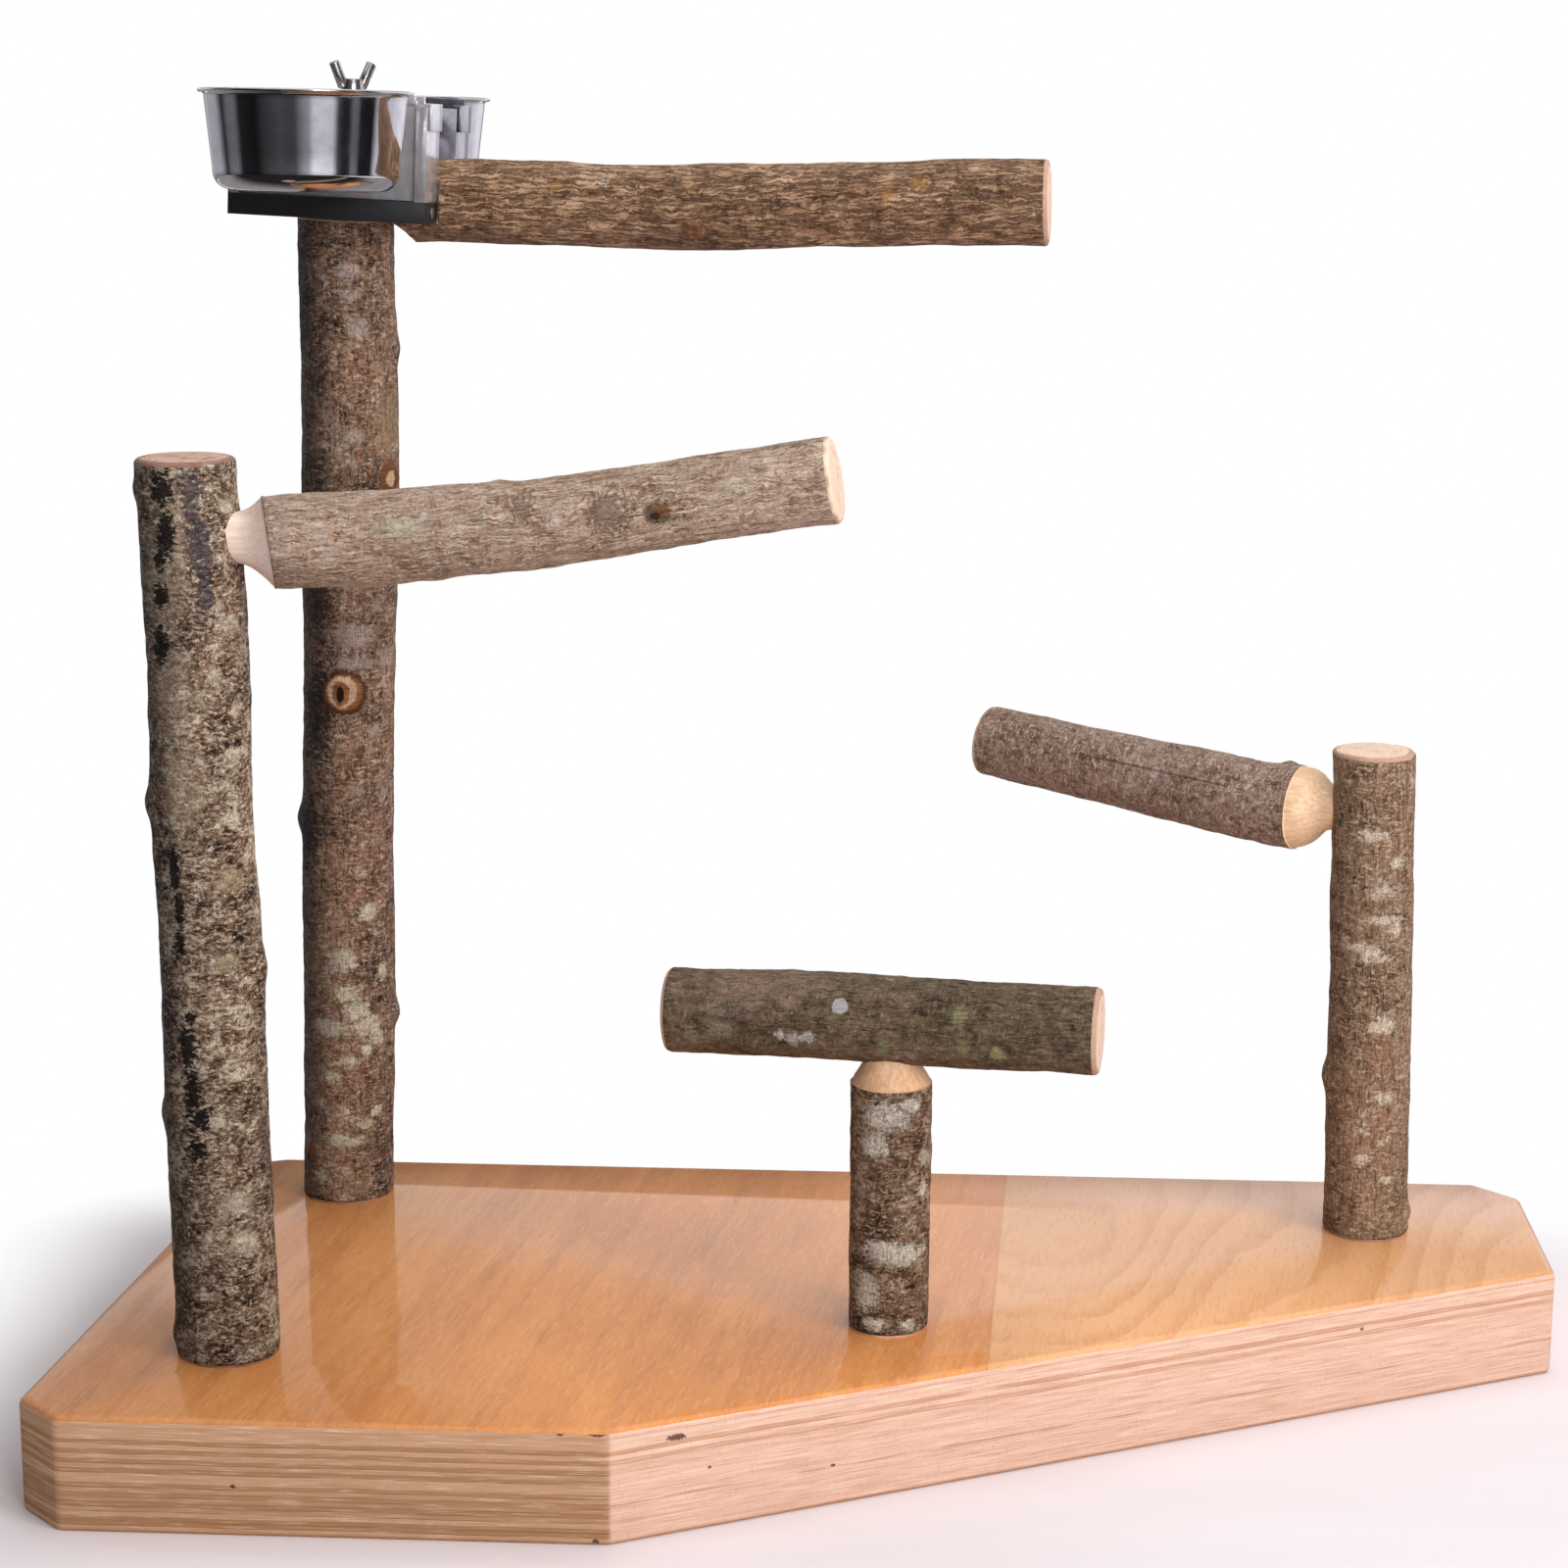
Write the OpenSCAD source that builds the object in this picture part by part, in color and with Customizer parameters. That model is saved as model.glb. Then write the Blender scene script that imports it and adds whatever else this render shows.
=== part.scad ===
// Parrot play stand: a plywood board with four bark-covered posts, four perches
// and a clamp-on holder with two lift-out steel bowls.
// Origin: middle of the board's underside. +X runs along the straight back edge,
// +Y points to the back, +Z up. Millimetres.

/* [Board] */
// Length of the board along its back edge
board_length = 660; // [600:1:760]
// Depth of the board from front edge to back edge
board_depth = 325; // [300:1:400]
// Thickness of the board
board_thick = 50; // [40:1:60]
// Length of the short straight front edge at the left
front_edge = 226; // [180:1:260]
// Length of the straight right edge
right_edge = 100; // [60:1:140]
// Size of the cut corners
corner_cut = 20; // [8:1:30]
// How far the left edge runs in towards the back
left_edge_lean = 31; // [0:1:45]
// Width of the chamfer around the top face
arris = 3.4; // [1:0.1:5]
// Width of the eased edge around the underside
bottom_arris = 2; // [0.5:0.1:4]

/* [Posts] */
// Height of the tall post's sawn top above the floor
tall_height = 517.5; // [480:0.5:540]
// Radius of the tall post
tall_r = 21.6; // [18:0.1:24]
// Height of the left post above the floor
left_height = 432; // [420:1:480]
// Radius of the left post
left_r = 21; // [18:0.1:24]
// Height of the right post above the floor
right_height = 281; // [272:1:340]
// Radius of the right post
right_r = 19; // [17:0.1:22]
// Height of the bark on the short post above the floor
short_height = 158; // [140:1:180]
// Radius of the short post
short_r = 17.5; // [16.5:0.1:20]

/* [Perches] */
// Radius of the top perch
top_perch_r = 18.7; // [17:0.1:20]
// Radius of the left, right and tee perches where they are thickest
perch_r = 18.8; // [17:0.1:20]
// Narrowest radius of a peeled neck
neck_r = 10.8; // [10.4:0.1:12]
// Radius of the tenon on a neck
tenon_r = 10; // [8:0.1:10.2]
// Length of a tenon inside its post or perch
tenon_length = 26; // [18:1:28]
// Height of the left perch's socket above the floor
left_socket_z = 400; // [380:1:405]
// Height of the right perch's socket above the floor
right_socket_z = 252; // [240:1:255]
// Direction of the left perch, in degrees from +X
left_perch_yaw = -5.6; // [-12:0.1:4]
// Direction of the right perch, in degrees from +X
right_perch_yaw = 151.9; // [140:0.1:165]
// Direction of the tee perch, in degrees from +X
tee_perch_yaw = -8.8; // [-20:0.1:10]

/* [Bowl holder] */
// Direction of the holder and the top perch, in degrees from +X
holder_yaw = -5; // [-10:0.1:5]
// Sideways lean of the holder, to the right
holder_lean = 2.4; // [0:0.1:3]
// Backward lean of the holder
holder_tilt = 1.8; // [0:0.1:3]
// Width of the gap between the brackets, where the perch end sits
holder_gap = 32; // [30:0.5:34]
// Depth of one bracket
bracket_depth = 24; // [20:0.5:28]
// Width of one bracket
bracket_width = 90; // [84:1:96]
// Thickness of the brackets' sheet metal
sheet = 1.2; // [0.8:0.1:1.6]
// Height of the black rail under a bracket
rail_height = 9.4; // [7:0.1:11]
// Height of the bowl rims above the tall post's top
rim_height = 55.5; // [54:0.5:60]

/* [Bowls] */
// Outer radius of a bowl's rim
rim_r = 46; // [44.6:0.1:48]
// Outer radius of a bowl's wall just under the rim
bowl_top_r = 43.4; // [42:0.1:44]
// Outer radius of a bowl's wall at its foot
bowl_foot_r = 40; // [38:0.1:42]
// Height of a bowl
bowl_height = 42.5; // [38:0.5:44]
// Thickness of a bowl's wall
bowl_wall = 1; // [0.8:0.1:1.6]
// Distance from the bracket's front to the bowl's middle
bowl_reach = 44.5; // [44.2:0.1:46]
// Sideways offset of each bowl on its back plate
bowl_shift = 2.5; // [0:0.1:4]
// Sideways lean of the bowls, which sit straighter on their plates than the holder
bowl_lean = 0.6; // [0:0.1:2.4]

/* [Fasteners] */
// Diameter of the wood bolts under the posts
post_bolt_d = 8; // [6:1:10]
// Length of the wood bolts under the posts, below the head
post_bolt_length = 90; // [70:1:95]
// Diameter of the threaded rod through the perch end
rod_d = 6; // [5:1:6]

/* [Hidden] */

$fn = 48;
// Sides of the swept branch shapes
limb_sides = 28;
// Overcut that keeps a cutting tool clear of the faces it passes through
over = 1;
// Gap between pieces that only touch
slip = 0.3;
// Gap around a glued tenon or a driven bolt
close_fit = 0.05;

bark = "#6d5c4d";
pale_wood = "#e3c49b";
board_wood = "#cf9f6e";
steel = "#b9bcc0";
black = "#26262a";
zinc = "#9a9ca0";

board_x = board_length/2;
board_y = board_depth/2;
// The back left corner is cut more along X than along Y
back_left_cut = [corner_cut, 9];
// How far the right edge runs in towards the front
right_edge_lean = 2;
slant_end_y = board_y - corner_cut - right_edge;
board_outline = [
    [-board_x, corner_cut - board_y],
    [corner_cut - board_x, -board_y],
    [corner_cut - board_x + front_edge, -board_y],
    [board_x - right_edge_lean, slant_end_y],
    [board_x, board_y - corner_cut],
    [board_x - corner_cut, board_y],
    [left_edge_lean + back_left_cut.x - board_x, board_y],
    [left_edge_lean - board_x, board_y - back_left_cut.y]
];

// Where each post stands on the board
tall_foot = [-238.8, 117, board_thick];
left_foot = [-254, -87.2, board_thick];
right_foot = [249.8, 95.2, board_thick];
short_foot = [26.7, -40.3, board_thick];
post_feet = [tall_foot, left_foot, right_foot, short_foot];

// Middle of the tall post's sawn top, where the rod stands
rod_foot = [-228, 117.2, tall_height];

// The posts' middle lines, from the foot up, each point with its radius
tall_line = [
    [tall_foot.x, tall_foot.y, board_thick - over], [-236, 117, 180], [-233.3, 117, 296],
    [-230.2, 117.2, 402], [-230, 117.2, tall_height + 4]
];
tall_radii = [tall_r - 0.2, tall_r, tall_r - 0.2, tall_r + 0.6, tall_r + 0.2];
left_line = [
    [left_foot.x, left_foot.y, board_thick - over], [-255.6, -87.2, 150], [-255.8, -87.2, 231],
    [-257.9, -87.2, 300], [-257, -87.2, 363], [-259.7, -87.2, left_height]
];
left_radii = [left_r + 0.4, left_r + 0.4, left_r + 0.2, left_r - 0.2, left_r - 0.4, left_r - 0.7];
right_line = [
    [right_foot.x, right_foot.y, board_thick - over], [246.8, 95.2, 170], [243.6, 95, right_height]
];
right_radii = [right_r + 1, right_r + 0.2, right_r - 0.3];
short_line = [
    [short_foot.x, short_foot.y, board_thick - over], [short_foot.x, short_foot.y, short_height]
];
short_radii = [short_r - 0.2, short_r];

// Knots on the posts: [height, direction in degrees, knot radius, rise above the bark]
tall_knots = [[458, 0, 8, 1.5], [400, -22, 6, 1.6], [296, -98, 12, 1.6], [236, 180, 9, 2.6],
    [143, 0, 7, 2.4], [72, -130, 8, 1.4]];
left_knots = [[421, 180, 8, 2], [291, 185, 10, 2.4], [220, -15, 10, 2.4], [157, 180, 9, 1.8],
    [60, -150, 9, 1.6]];
right_knots = [[126, 185, 10, 2.4], [60, -25, 6, 1.6]];

// Sockets: where the perches' middle lines cross those of their posts
left_socket = [-258.2, -87.2, left_socket_z];
right_socket = [244.4, 95.1, right_socket_z];
tee_socket = [short_foot.x, short_foot.y, short_height + 30.5];

// The perches' middle lines, as distance from the socket and height above it
top_perch_start = -22;
top_perch_line = [
    [top_perch_start, 8.3], [44, 7.9], [101, 7.2], [161, 6.1], [222, 8.1], [270, 9.5], [319, 10.5]
];
left_bark_start = 32;
left_perch_line = [
    [left_bark_start, -1.5], [50, -0.2], [75, 1.4], [100, 4.2], [144, 9], [188, 16.3],
    [233, 24.3], [263, 29.4]
];
left_perch_radii = [perch_r, perch_r, perch_r - 0.1, perch_r - 0.3, perch_r - 1.2, perch_r - 1.5,
    perch_r - 2, perch_r - 2];
right_bark_start = 36;
right_perch_line = [[right_bark_start, -2.3], [56, -1.8], [80, 0.4], [130, 5], [200, 11.3]];
right_perch_radii = [perch_r + 0.8, perch_r, perch_r - 0.2, perch_r - 1, perch_r - 1.8];
tee_perch_line = [[-98, -2.1], [-50, -0.6], [0, 0], [45, 0.2], [89.4, 0.3]];
tee_perch_radii = [perch_r - 0.5, perch_r - 0.1, perch_r, perch_r, perch_r];

// Cove under the top perch, beside the tall post
lap_cove_r = 14;
lap_cove_x = 19;
// Small knot under the top perch, in the perch's frame
top_knot = [161, -12, -5];
top_knot_r = 6;
// How far the wide end of a neck lies inside the bark, at least
neck_inset = 0.6;
// How far the short post's neck runs into the tee perch
neck_overlap = 1;

// Bolt, washer and counterbore under each post
bolt_head_af = 13;
bolt_head_h = 5.3;
bolt_tip = 8;
bolt_tip_d = 2;
washer_r = 12;
washer_h = 1.6;
counterbore_r = 13;
counterbore_h = 9;
bolt_seat_z = counterbore_h;
// Countersunk screws that pin the side perches
screw_r = 2.4;
screw_head_r = 4.6;
screw_length = 45;
screw_sink = 0.6;
screw_tip = 5;
screw_tip_r = 0.6;

// Heights in the holder, above the tall post's top
perch_top_z = 8.1 + top_perch_r;
rod_r = rod_d/2;
rod_bore_depth = 40;
perch_flat = 24;
seat_z = perch_top_z - 1.4;
flat_washer_r = 9;
perch_washer_h = 1.2;
perch_nut_h = 5;
perch_nut_af = 10;
bridge_z = rim_height - 3.6;
bridge_sheet = 1.5;
bridge_width = 24;
bridge_flange = 14;
rod_washer_h = 1.6;
nut_hub_h = 7;
nut_hub_r = 5.6;
wing_r = 2.3;
wing_root = [3.5, 2.5];
wing_tip = [8.7, 12.4];
wing_thick = 2.8;
wing_turn = 40;
nut_seat_z = bridge_z + bridge_sheet + rod_washer_h;
rod_top_z = nut_seat_z + nut_hub_h;
running_fit = 0.08;

// Bracket and plate
panel_top_z = rim_height - 4.5;
lip = 5;
plate_sheet = 1.2;
plate_low_z = rail_height + slip;
ear_drop = 12;
ear_length = 22.5;
bracket_face = holder_gap/2 + bracket_depth;
// Rivets through the bridge's flanges, each side of the rod
rivet_x = 7;
rivet_r = 1.5;
rivet_head_r = 2.6;
rivet_head_h = 0.9;
// Screws into the rails' ends
rail_screw_r = 1.4;
rail_screw_length = 12;
rail_screw_head_r = 2.4;
rail_screw_head_h = 1;
// Bowl rim, and the corner between a bowl's floor and wall
rim_h = 1.7;
bowl_corner_r = 8;
bowl_corner_steps = 6;

// --- helpers ---------------------------------------------------------------

// Unit vector from one point to another
function direction(a, b) = (b - a)/norm(b - a);
// Direction of a line at point i, averaged over its neighbours
function line_direction(line, i) =
    direction(line[max(i - 1, 0)], line[min(i + 1, len(line) - 1)]);
// Two directions square to d, the second one pointing as far up or back as it can
function side_of(d) = let (up = abs(d.z) > 0.7 ? [0, 1, 0] : [0, 0, 1]) direction([0, 0, 0], cross(up, d));
function ring(p, d, r) = let (u = side_of(d), v = cross(d, u))
    [for (k = [0:limb_sides - 1]) let (a = 360*k/limb_sides) p + r*(cos(a)*u + sin(a)*v)];

// A branch: rings of the given radii along its middle line
module limb(line, radii) {
    last = len(line) - 1;
    points = [for (i = [0:last]) each ring(line[i], line_direction(line, i), radii[i])];
    sides = [for (i = [0:last - 1], k = [0:limb_sides - 1])
        let (a = i*limb_sides + k, b = i*limb_sides + (k + 1) % limb_sides)
        [a, a + limb_sides, b + limb_sides, b]];
    foot_face = [for (k = [0:limb_sides - 1]) k];
    top_face = [for (k = [limb_sides - 1:-1:0]) last*limb_sides + k];
    polyhedron(points, concat(sides, [foot_face, top_face]));
}

// A perch's middle line in its own frame, with X along the perch
function flat_line(line) = [for (p = line) [p.x, 0, p.y]];

// Where a post's middle line is at height z
function line_at(line, z) =
    [lookup(z, [for (p = line) [p.z, p.x]]), lookup(z, [for (p = line) [p.z, p.y]]), z];

// A round knot that swells out of a post's bark. Each knot is
// [height, direction in degrees, knot radius, rise above the bark]
module knots(line, post_radius, list) {
    for (k = list) {
        reach = post_radius + k[3] - k[2];
        translate(line_at(line, k[0]) + reach*[cos(k[1]), sin(k[1]), 0])
            sphere(r = k[2]);
    }
}

// Frame of a perch: X runs along the perch from the socket
module at_socket(socket, yaw) {
    translate(socket)
        rotate([0, 0, yaw])
            children();
}

// Frame of the bowl holder: X along the brackets, Y to the back, Z up the rod
module at_holder() {
    translate(rod_foot)
        rotate([0, 0, holder_yaw])
            rotate([-holder_tilt, holder_lean, 0])
                children();
}

// Frame of the front or the rear half of the holder: Y points away from the perch
module holder_side(side) {
    at_holder()
        rotate([0, 0, side == "front" ? 180 : 0])
            children();
}

// Tenon along Z with a coved neck that widens downwards to the bark
module neck(bark_radius, length) {
    difference() {
        cylinder(r = bark_radius, h = length);
        rotate_extrude()
            translate([neck_r + length, length])
                circle(r = length);
    }
    translate([0, 0, length - over])
        cylinder(r = tenon_r, h = tenon_length + over);
}

// --- wooden pieces ----------------------------------------------------------

// The board, bevelled around both faces and bored for the posts' bolts
module base_board() {
    color(board_wood)
        difference() {
            hull() {
                translate([0, 0, bottom_arris])
                    linear_extrude(board_thick - arris - bottom_arris)
                        polygon(board_outline);
                linear_extrude(bottom_arris)
                    offset(delta = -bottom_arris)
                        polygon(board_outline);
                linear_extrude(board_thick)
                    offset(delta = -arris)
                        polygon(board_outline);
            }
            for (foot = post_feet)
                translate([foot.x, foot.y, -over]) {
                    cylinder(r = post_bolt_d/2 + close_fit, h = board_thick + 2*over);
                    cylinder(r = counterbore_r, h = counterbore_h + over);
                }
        }
}

// Takes away what is below the board's top, so that a post stands flat on it
module below_board() {
    translate([-board_length, -board_length, -board_thick])
        cube([2*board_length, 2*board_length, 2*board_thick]);
}

// A post's flat foot and the pilot bore for the bolt that comes up through the board
module foot_cuts(foot) {
    below_board();
    translate([foot.x, foot.y, board_thick - over])
        cylinder(r = post_bolt_d/2 + close_fit, h = post_bolt_length - board_thick + counterbore_h + 2*over);
}

// Blind socket for a perch's tenon, open towards the perch, and its screw's bore
module tenon_socket(socket, yaw, radius) {
    at_socket(socket, yaw)
        rotate([0, 90, 0]) {
            translate([0, 0, radius - tenon_length - slip])
                cylinder(r = tenon_r + close_fit, h = tenon_length + radius);
            translate([0, 0, -2*radius])
                cylinder(r = screw_r + close_fit, h = 3*radius);
            translate([0, 0, screw_sink - radius])
                cylinder(r1 = screw_head_r + close_fit, r2 = screw_r, h = screw_head_r - screw_r);
            translate([0, 0, screw_sink - 2*radius])
                cylinder(r = screw_head_r + close_fit, h = radius);
        }
}

module tall_post() {
    color(bark)
        difference() {
            union() {
                limb(tall_line, tall_radii);
                knots(tall_line, tall_r, tall_knots);
            }
            at_holder() {
                translate([-2*tall_r, -2*tall_r, 0])
                    cube([4*tall_r, 4*tall_r, tall_r]);
                translate([0, 0, -rod_bore_depth])
                    cylinder(r = rod_r + close_fit, h = rod_bore_depth + over);
            }
            foot_cuts(tall_foot);
        }
}

module left_post() {
    color(bark)
        difference() {
            union() {
                limb(left_line, left_radii);
                knots(left_line, left_r, left_knots);
            }
            tenon_socket(left_socket, left_perch_yaw, left_r);
            foot_cuts(left_foot);
        }
}

module right_post() {
    color(bark)
        difference() {
            union() {
                limb(right_line, right_radii);
                knots(right_line, right_r, right_knots);
            }
            tenon_socket(right_socket, right_perch_yaw, right_r);
            foot_cuts(right_foot);
        }
}

module short_post() {
    color(bark)
        difference() {
            union() {
                limb(short_line, short_radii);
                translate([short_foot.x, short_foot.y, short_height - over])
                    neck(short_r - neck_inset, tee_socket.z - perch_r - short_height + over + neck_overlap);
            }
            foot_cuts(short_foot);
        }
}

// The perch end that lies on the tall post: flat below with a cove, flat at the
// sides for the brackets and on top for the washer
module top_perch() {
    ends = len(top_perch_line) - 1;
    color(bark)
        difference() {
            union() {
                at_socket(rod_foot, holder_yaw) {
                    limb(flat_line(top_perch_line), [for (i = [0:ends]) top_perch_r]);
                    translate(top_knot)
                        sphere(r = top_knot_r);
                }
            }
            at_holder() {
                translate([2*top_perch_start, -2*top_perch_r, -2*top_perch_r])
                    cube([lap_cove_x - 2*top_perch_start, 4*top_perch_r, 2*top_perch_r]);
                translate([lap_cove_x, 2*top_perch_r, -lap_cove_r])
                    rotate([90, 0, 0])
                        cylinder(r = lap_cove_r, h = 4*top_perch_r);
                for (side = [0, 1])
                    mirror([0, side, 0])
                        translate([2*top_perch_start, holder_gap/2, -2*top_perch_r])
                            cube([bracket_width/2 + over - 2*top_perch_start, top_perch_r, 5*top_perch_r]);
                translate([0, 0, seat_z])
                    cylinder(r = perch_flat/2, h = top_perch_r);
                translate([0, 0, -over])
                    cylinder(r = rod_r + close_fit, h = 3*top_perch_r);
            }
        }
}

module side_perch(line, radii, socket, yaw, post_radius) {
    bark_start = line[0].x;
    at_socket(socket, yaw) {
        color(bark)
            limb(flat_line(line), radii);
        color(pale_wood)
            translate([bark_start, 0, 0])
                rotate([0, -90, 0])
                    neck(radii[0] - abs(line[0].y) - neck_inset, bark_start - post_radius);
    }
}

module pin_bore(socket, yaw, post_radius) {
    at_socket(socket, yaw)
        rotate([0, 90, 0])
            translate([0, 0, -tenon_length])
                cylinder(r = screw_r + close_fit, h = screw_length + screw_sink - post_radius + tenon_length + over);
}

module left_perch() {
    difference() {
        side_perch(left_perch_line, left_perch_radii, left_socket, left_perch_yaw, left_r);
        pin_bore(left_socket, left_perch_yaw, left_r);
    }
}

module right_perch() {
    difference() {
        side_perch(right_perch_line, right_perch_radii, right_socket, right_perch_yaw, right_r);
        pin_bore(right_socket, right_perch_yaw, right_r);
    }
}

module tee_perch() {
    color(bark)
        at_socket(tee_socket, tee_perch_yaw)
            difference() {
                limb(flat_line(tee_perch_line), tee_perch_radii);
                translate([0, 0, -2*perch_r])
                    cylinder(r = neck_r + close_fit, h = perch_r + over + slip);
                translate([0, 0, -2*perch_r])
                    cylinder(r = tenon_r + close_fit, h = perch_r + over + tenon_length + slip);
            }
}

// --- fasteners --------------------------------------------------------------

module post_bolts() {
    color(zinc)
        for (foot = post_feet)
            translate([foot.x, foot.y, bolt_seat_z - washer_h]) {
                translate([0, 0, -bolt_head_h])
                    cylinder(d = bolt_head_af/cos(30), h = bolt_head_h, $fn = 6);
                cylinder(d = post_bolt_d, h = post_bolt_length - bolt_tip);
                translate([0, 0, post_bolt_length - bolt_tip])
                    cylinder(d1 = post_bolt_d, d2 = bolt_tip_d, h = bolt_tip);
            }
}

module post_washers() {
    color(zinc)
        for (foot = post_feet)
            translate([foot.x, foot.y, bolt_seat_z - washer_h])
                washer(washer_r, post_bolt_d/2 + close_fit, washer_h);
}

module washer(outer, inner, height) {
    difference() {
        cylinder(r = outer, h = height);
        translate([0, 0, -over])
            cylinder(r = inner, h = height + 2*over);
    }
}

module perch_screw(socket, yaw, post_radius) {
    at_socket(socket, yaw)
        rotate([0, 90, 0])
            translate([0, 0, screw_sink - post_radius]) {
                cylinder(r1 = screw_head_r, r2 = screw_r - close_fit, h = screw_head_r - screw_r);
                cylinder(r = screw_r, h = screw_length - screw_tip);
                translate([0, 0, screw_length - screw_tip])
                    cylinder(r1 = screw_r, r2 = screw_tip_r, h = screw_tip);
            }
}

module perch_screws() {
    color(zinc) {
        perch_screw(left_socket, left_perch_yaw, left_r);
        perch_screw(right_socket, right_perch_yaw, right_r);
    }
}

module threaded_rod() {
    color(zinc)
        at_holder()
            translate([0, 0, slip - rod_bore_depth])
                cylinder(r = rod_r, h = rod_top_z + rod_bore_depth - slip);
}

module perch_washer() {
    color(zinc)
        at_holder()
            translate([0, 0, seat_z])
                washer(flat_washer_r, rod_r + close_fit, perch_washer_h);
}

module hex_nut(across_flats, height) {
    difference() {
        cylinder(d = across_flats/cos(30), h = height, $fn = 6);
        translate([0, 0, -over])
            cylinder(r = rod_r + close_fit, h = height + 2*over);
    }
}

module perch_nut() {
    color(zinc)
        at_holder()
            translate([0, 0, seat_z + perch_washer_h])
                hex_nut(perch_nut_af, perch_nut_h);
}

module rod_washer() {
    color(zinc)
        at_holder()
            translate([0, 0, bridge_z + bridge_sheet])
                washer(flat_washer_r, rod_r + running_fit, rod_washer_h);
}

// A wing that leans out and up from the hub
module wing() {
    hull()
        for (p = [wing_root, wing_tip])
            translate([p.x, wing_thick/2, p.y])
                rotate([90, 0, 0])
                    cylinder(r = wing_r, h = wing_thick, $fn = 32);
}

module wing_nut() {
    color(zinc)
        at_holder()
            translate([0, 0, nut_seat_z])
                rotate([0, 0, wing_turn])
                    difference() {
                        union() {
                            cylinder(r1 = nut_hub_r, r2 = nut_hub_r - 1, h = nut_hub_h);
                            for (turn = [0, 180])
                                rotate([0, 0, turn])
                                    wing();
                        }
                        translate([0, 0, -over])
                            cylinder(r = rod_r + running_fit, h = 3*nut_hub_h);
                    }
}

// --- bowl holder -------------------------------------------------------------

// Bent sheet: back panel, two side walls and a narrow lip in front of each wall
module bracket(side) {
    half = bracket_width/2;
    wall_h = panel_top_z - rail_height;
    holder_side(side)
        translate([0, holder_gap/2, rail_height])
            color(steel)
                difference() {
                    union() {
                        translate([-half, 0, 0])
                            cube([bracket_width, sheet, wall_h]);
                        for (hand = [0, 1])
                            mirror([hand, 0, 0]) {
                                translate([half - sheet, 0, 0])
                                    cube([sheet, bracket_depth, wall_h]);
                                translate([half - lip, bracket_depth - sheet, 0])
                                    cube([lip, sheet, wall_h]);
                            }
                    }
                    bridge_holes(bridge_z - rail_height);
                }
}

// Rivet holes through the bridge's flange and the bracket's panel, at z below the bridge
module bridge_holes(z) {
    for (x = [-rivet_x, rivet_x])
        translate([x, -over - bridge_sheet, z - bridge_flange/2])
            rotate([-90, 0, 0])
                cylinder(r = rivet_r, h = bridge_sheet + sheet + 2*over);
}

module front_bracket() {
    bracket("front");
}

module rear_bracket() {
    bracket("rear");
}

module rail(side) {
    half = bracket_width/2;
    holder_side(side)
        translate([0, holder_gap/2, 0])
            color(black)
                difference() {
                    translate([-half, 0, 0])
                        cube([bracket_width, bracket_depth, rail_height]);
                    for (turn = [-90, 90])
                        rotate([0, turn, 0])
                            translate([-sign(turn)*rail_height/2, bracket_depth/2, half - rail_screw_length])
                                cylinder(r = rail_screw_r + close_fit, h = rail_screw_length + over);
                }
}

module front_rail() {
    rail("front");
}

module rear_rail() {
    rail("rear");
}

module rail_screws() {
    half = bracket_width/2;
    color(zinc)
        for (side = ["front", "rear"])
            holder_side(side)
                translate([0, holder_gap/2, 0])
                    for (turn = [-90, 90])
                        rotate([0, turn, 0])
                            translate([-sign(turn)*rail_height/2, bracket_depth/2, half]) {
                                cylinder(r = rail_screw_head_r, h = rail_screw_head_h);
                                translate([0, 0, slip - rail_screw_length])
                                    cylinder(r = rail_screw_r, h = rail_screw_length);
                            }
}

module holder_bridge() {
    half_gap = holder_gap/2;
    color(steel)
        at_holder()
            difference() {
                union() {
                    translate([-bridge_width/2, -half_gap, bridge_z])
                        cube([bridge_width, holder_gap, bridge_sheet]);
                    for (turn = [0, 180])
                        rotate([0, 0, turn])
                            translate([-bridge_width/2, half_gap - bridge_sheet, bridge_z - bridge_flange])
                                cube([bridge_width, bridge_sheet, bridge_flange + bridge_sheet]);
                }
                translate([0, 0, bridge_z - over])
                    cylinder(r = rod_r + close_fit, h = bridge_sheet + 2*over);
                for (turn = [0, 180])
                    rotate([0, 0, turn])
                        translate([0, half_gap, 0])
                            bridge_holes(bridge_z);
            }
}

module bridge_rivets() {
    color(steel)
        for (side = ["front", "rear"])
            holder_side(side)
                for (x = [-rivet_x, rivet_x])
                    translate([x, holder_gap/2, bridge_z - bridge_flange/2])
                        rotate([-90, 0, 0]) {
                            translate([0, 0, -bridge_sheet - rivet_head_h])
                                cylinder(r = rivet_head_r, h = rivet_head_h);
                            translate([0, 0, -bridge_sheet])
                                cylinder(r = rivet_r - close_fit, h = bridge_sheet + sheet);
                            translate([0, 0, sheet])
                                cylinder(r = rivet_head_r, h = rivet_head_h);
                        }
}

// --- bowls --------------------------------------------------------------------

function arc(centre, r, from, to) = [
    for (i = [0:bowl_corner_steps])
        let (a = from + (to - from)*i/bowl_corner_steps) centre + r*[cos(a), sin(a)]
];

// Half section of a bowl: floor, rounded corner, slightly flared wall and flat rim
function bowl_section() = let (
        inner_corner = bowl_corner_r - bowl_wall,
        corner = [bowl_foot_r - bowl_corner_r, bowl_corner_r]
    )
    concat(
        [[0, 0]],
        arc(corner, bowl_corner_r, -90, 0),
        [[bowl_top_r, bowl_height - rim_h], [rim_r, bowl_height - rim_h],
         [rim_r, bowl_height], [bowl_top_r - bowl_wall, bowl_height]],
        arc(corner, inner_corner, 0, -90),
        [[0, bowl_wall]]
    );

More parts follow.
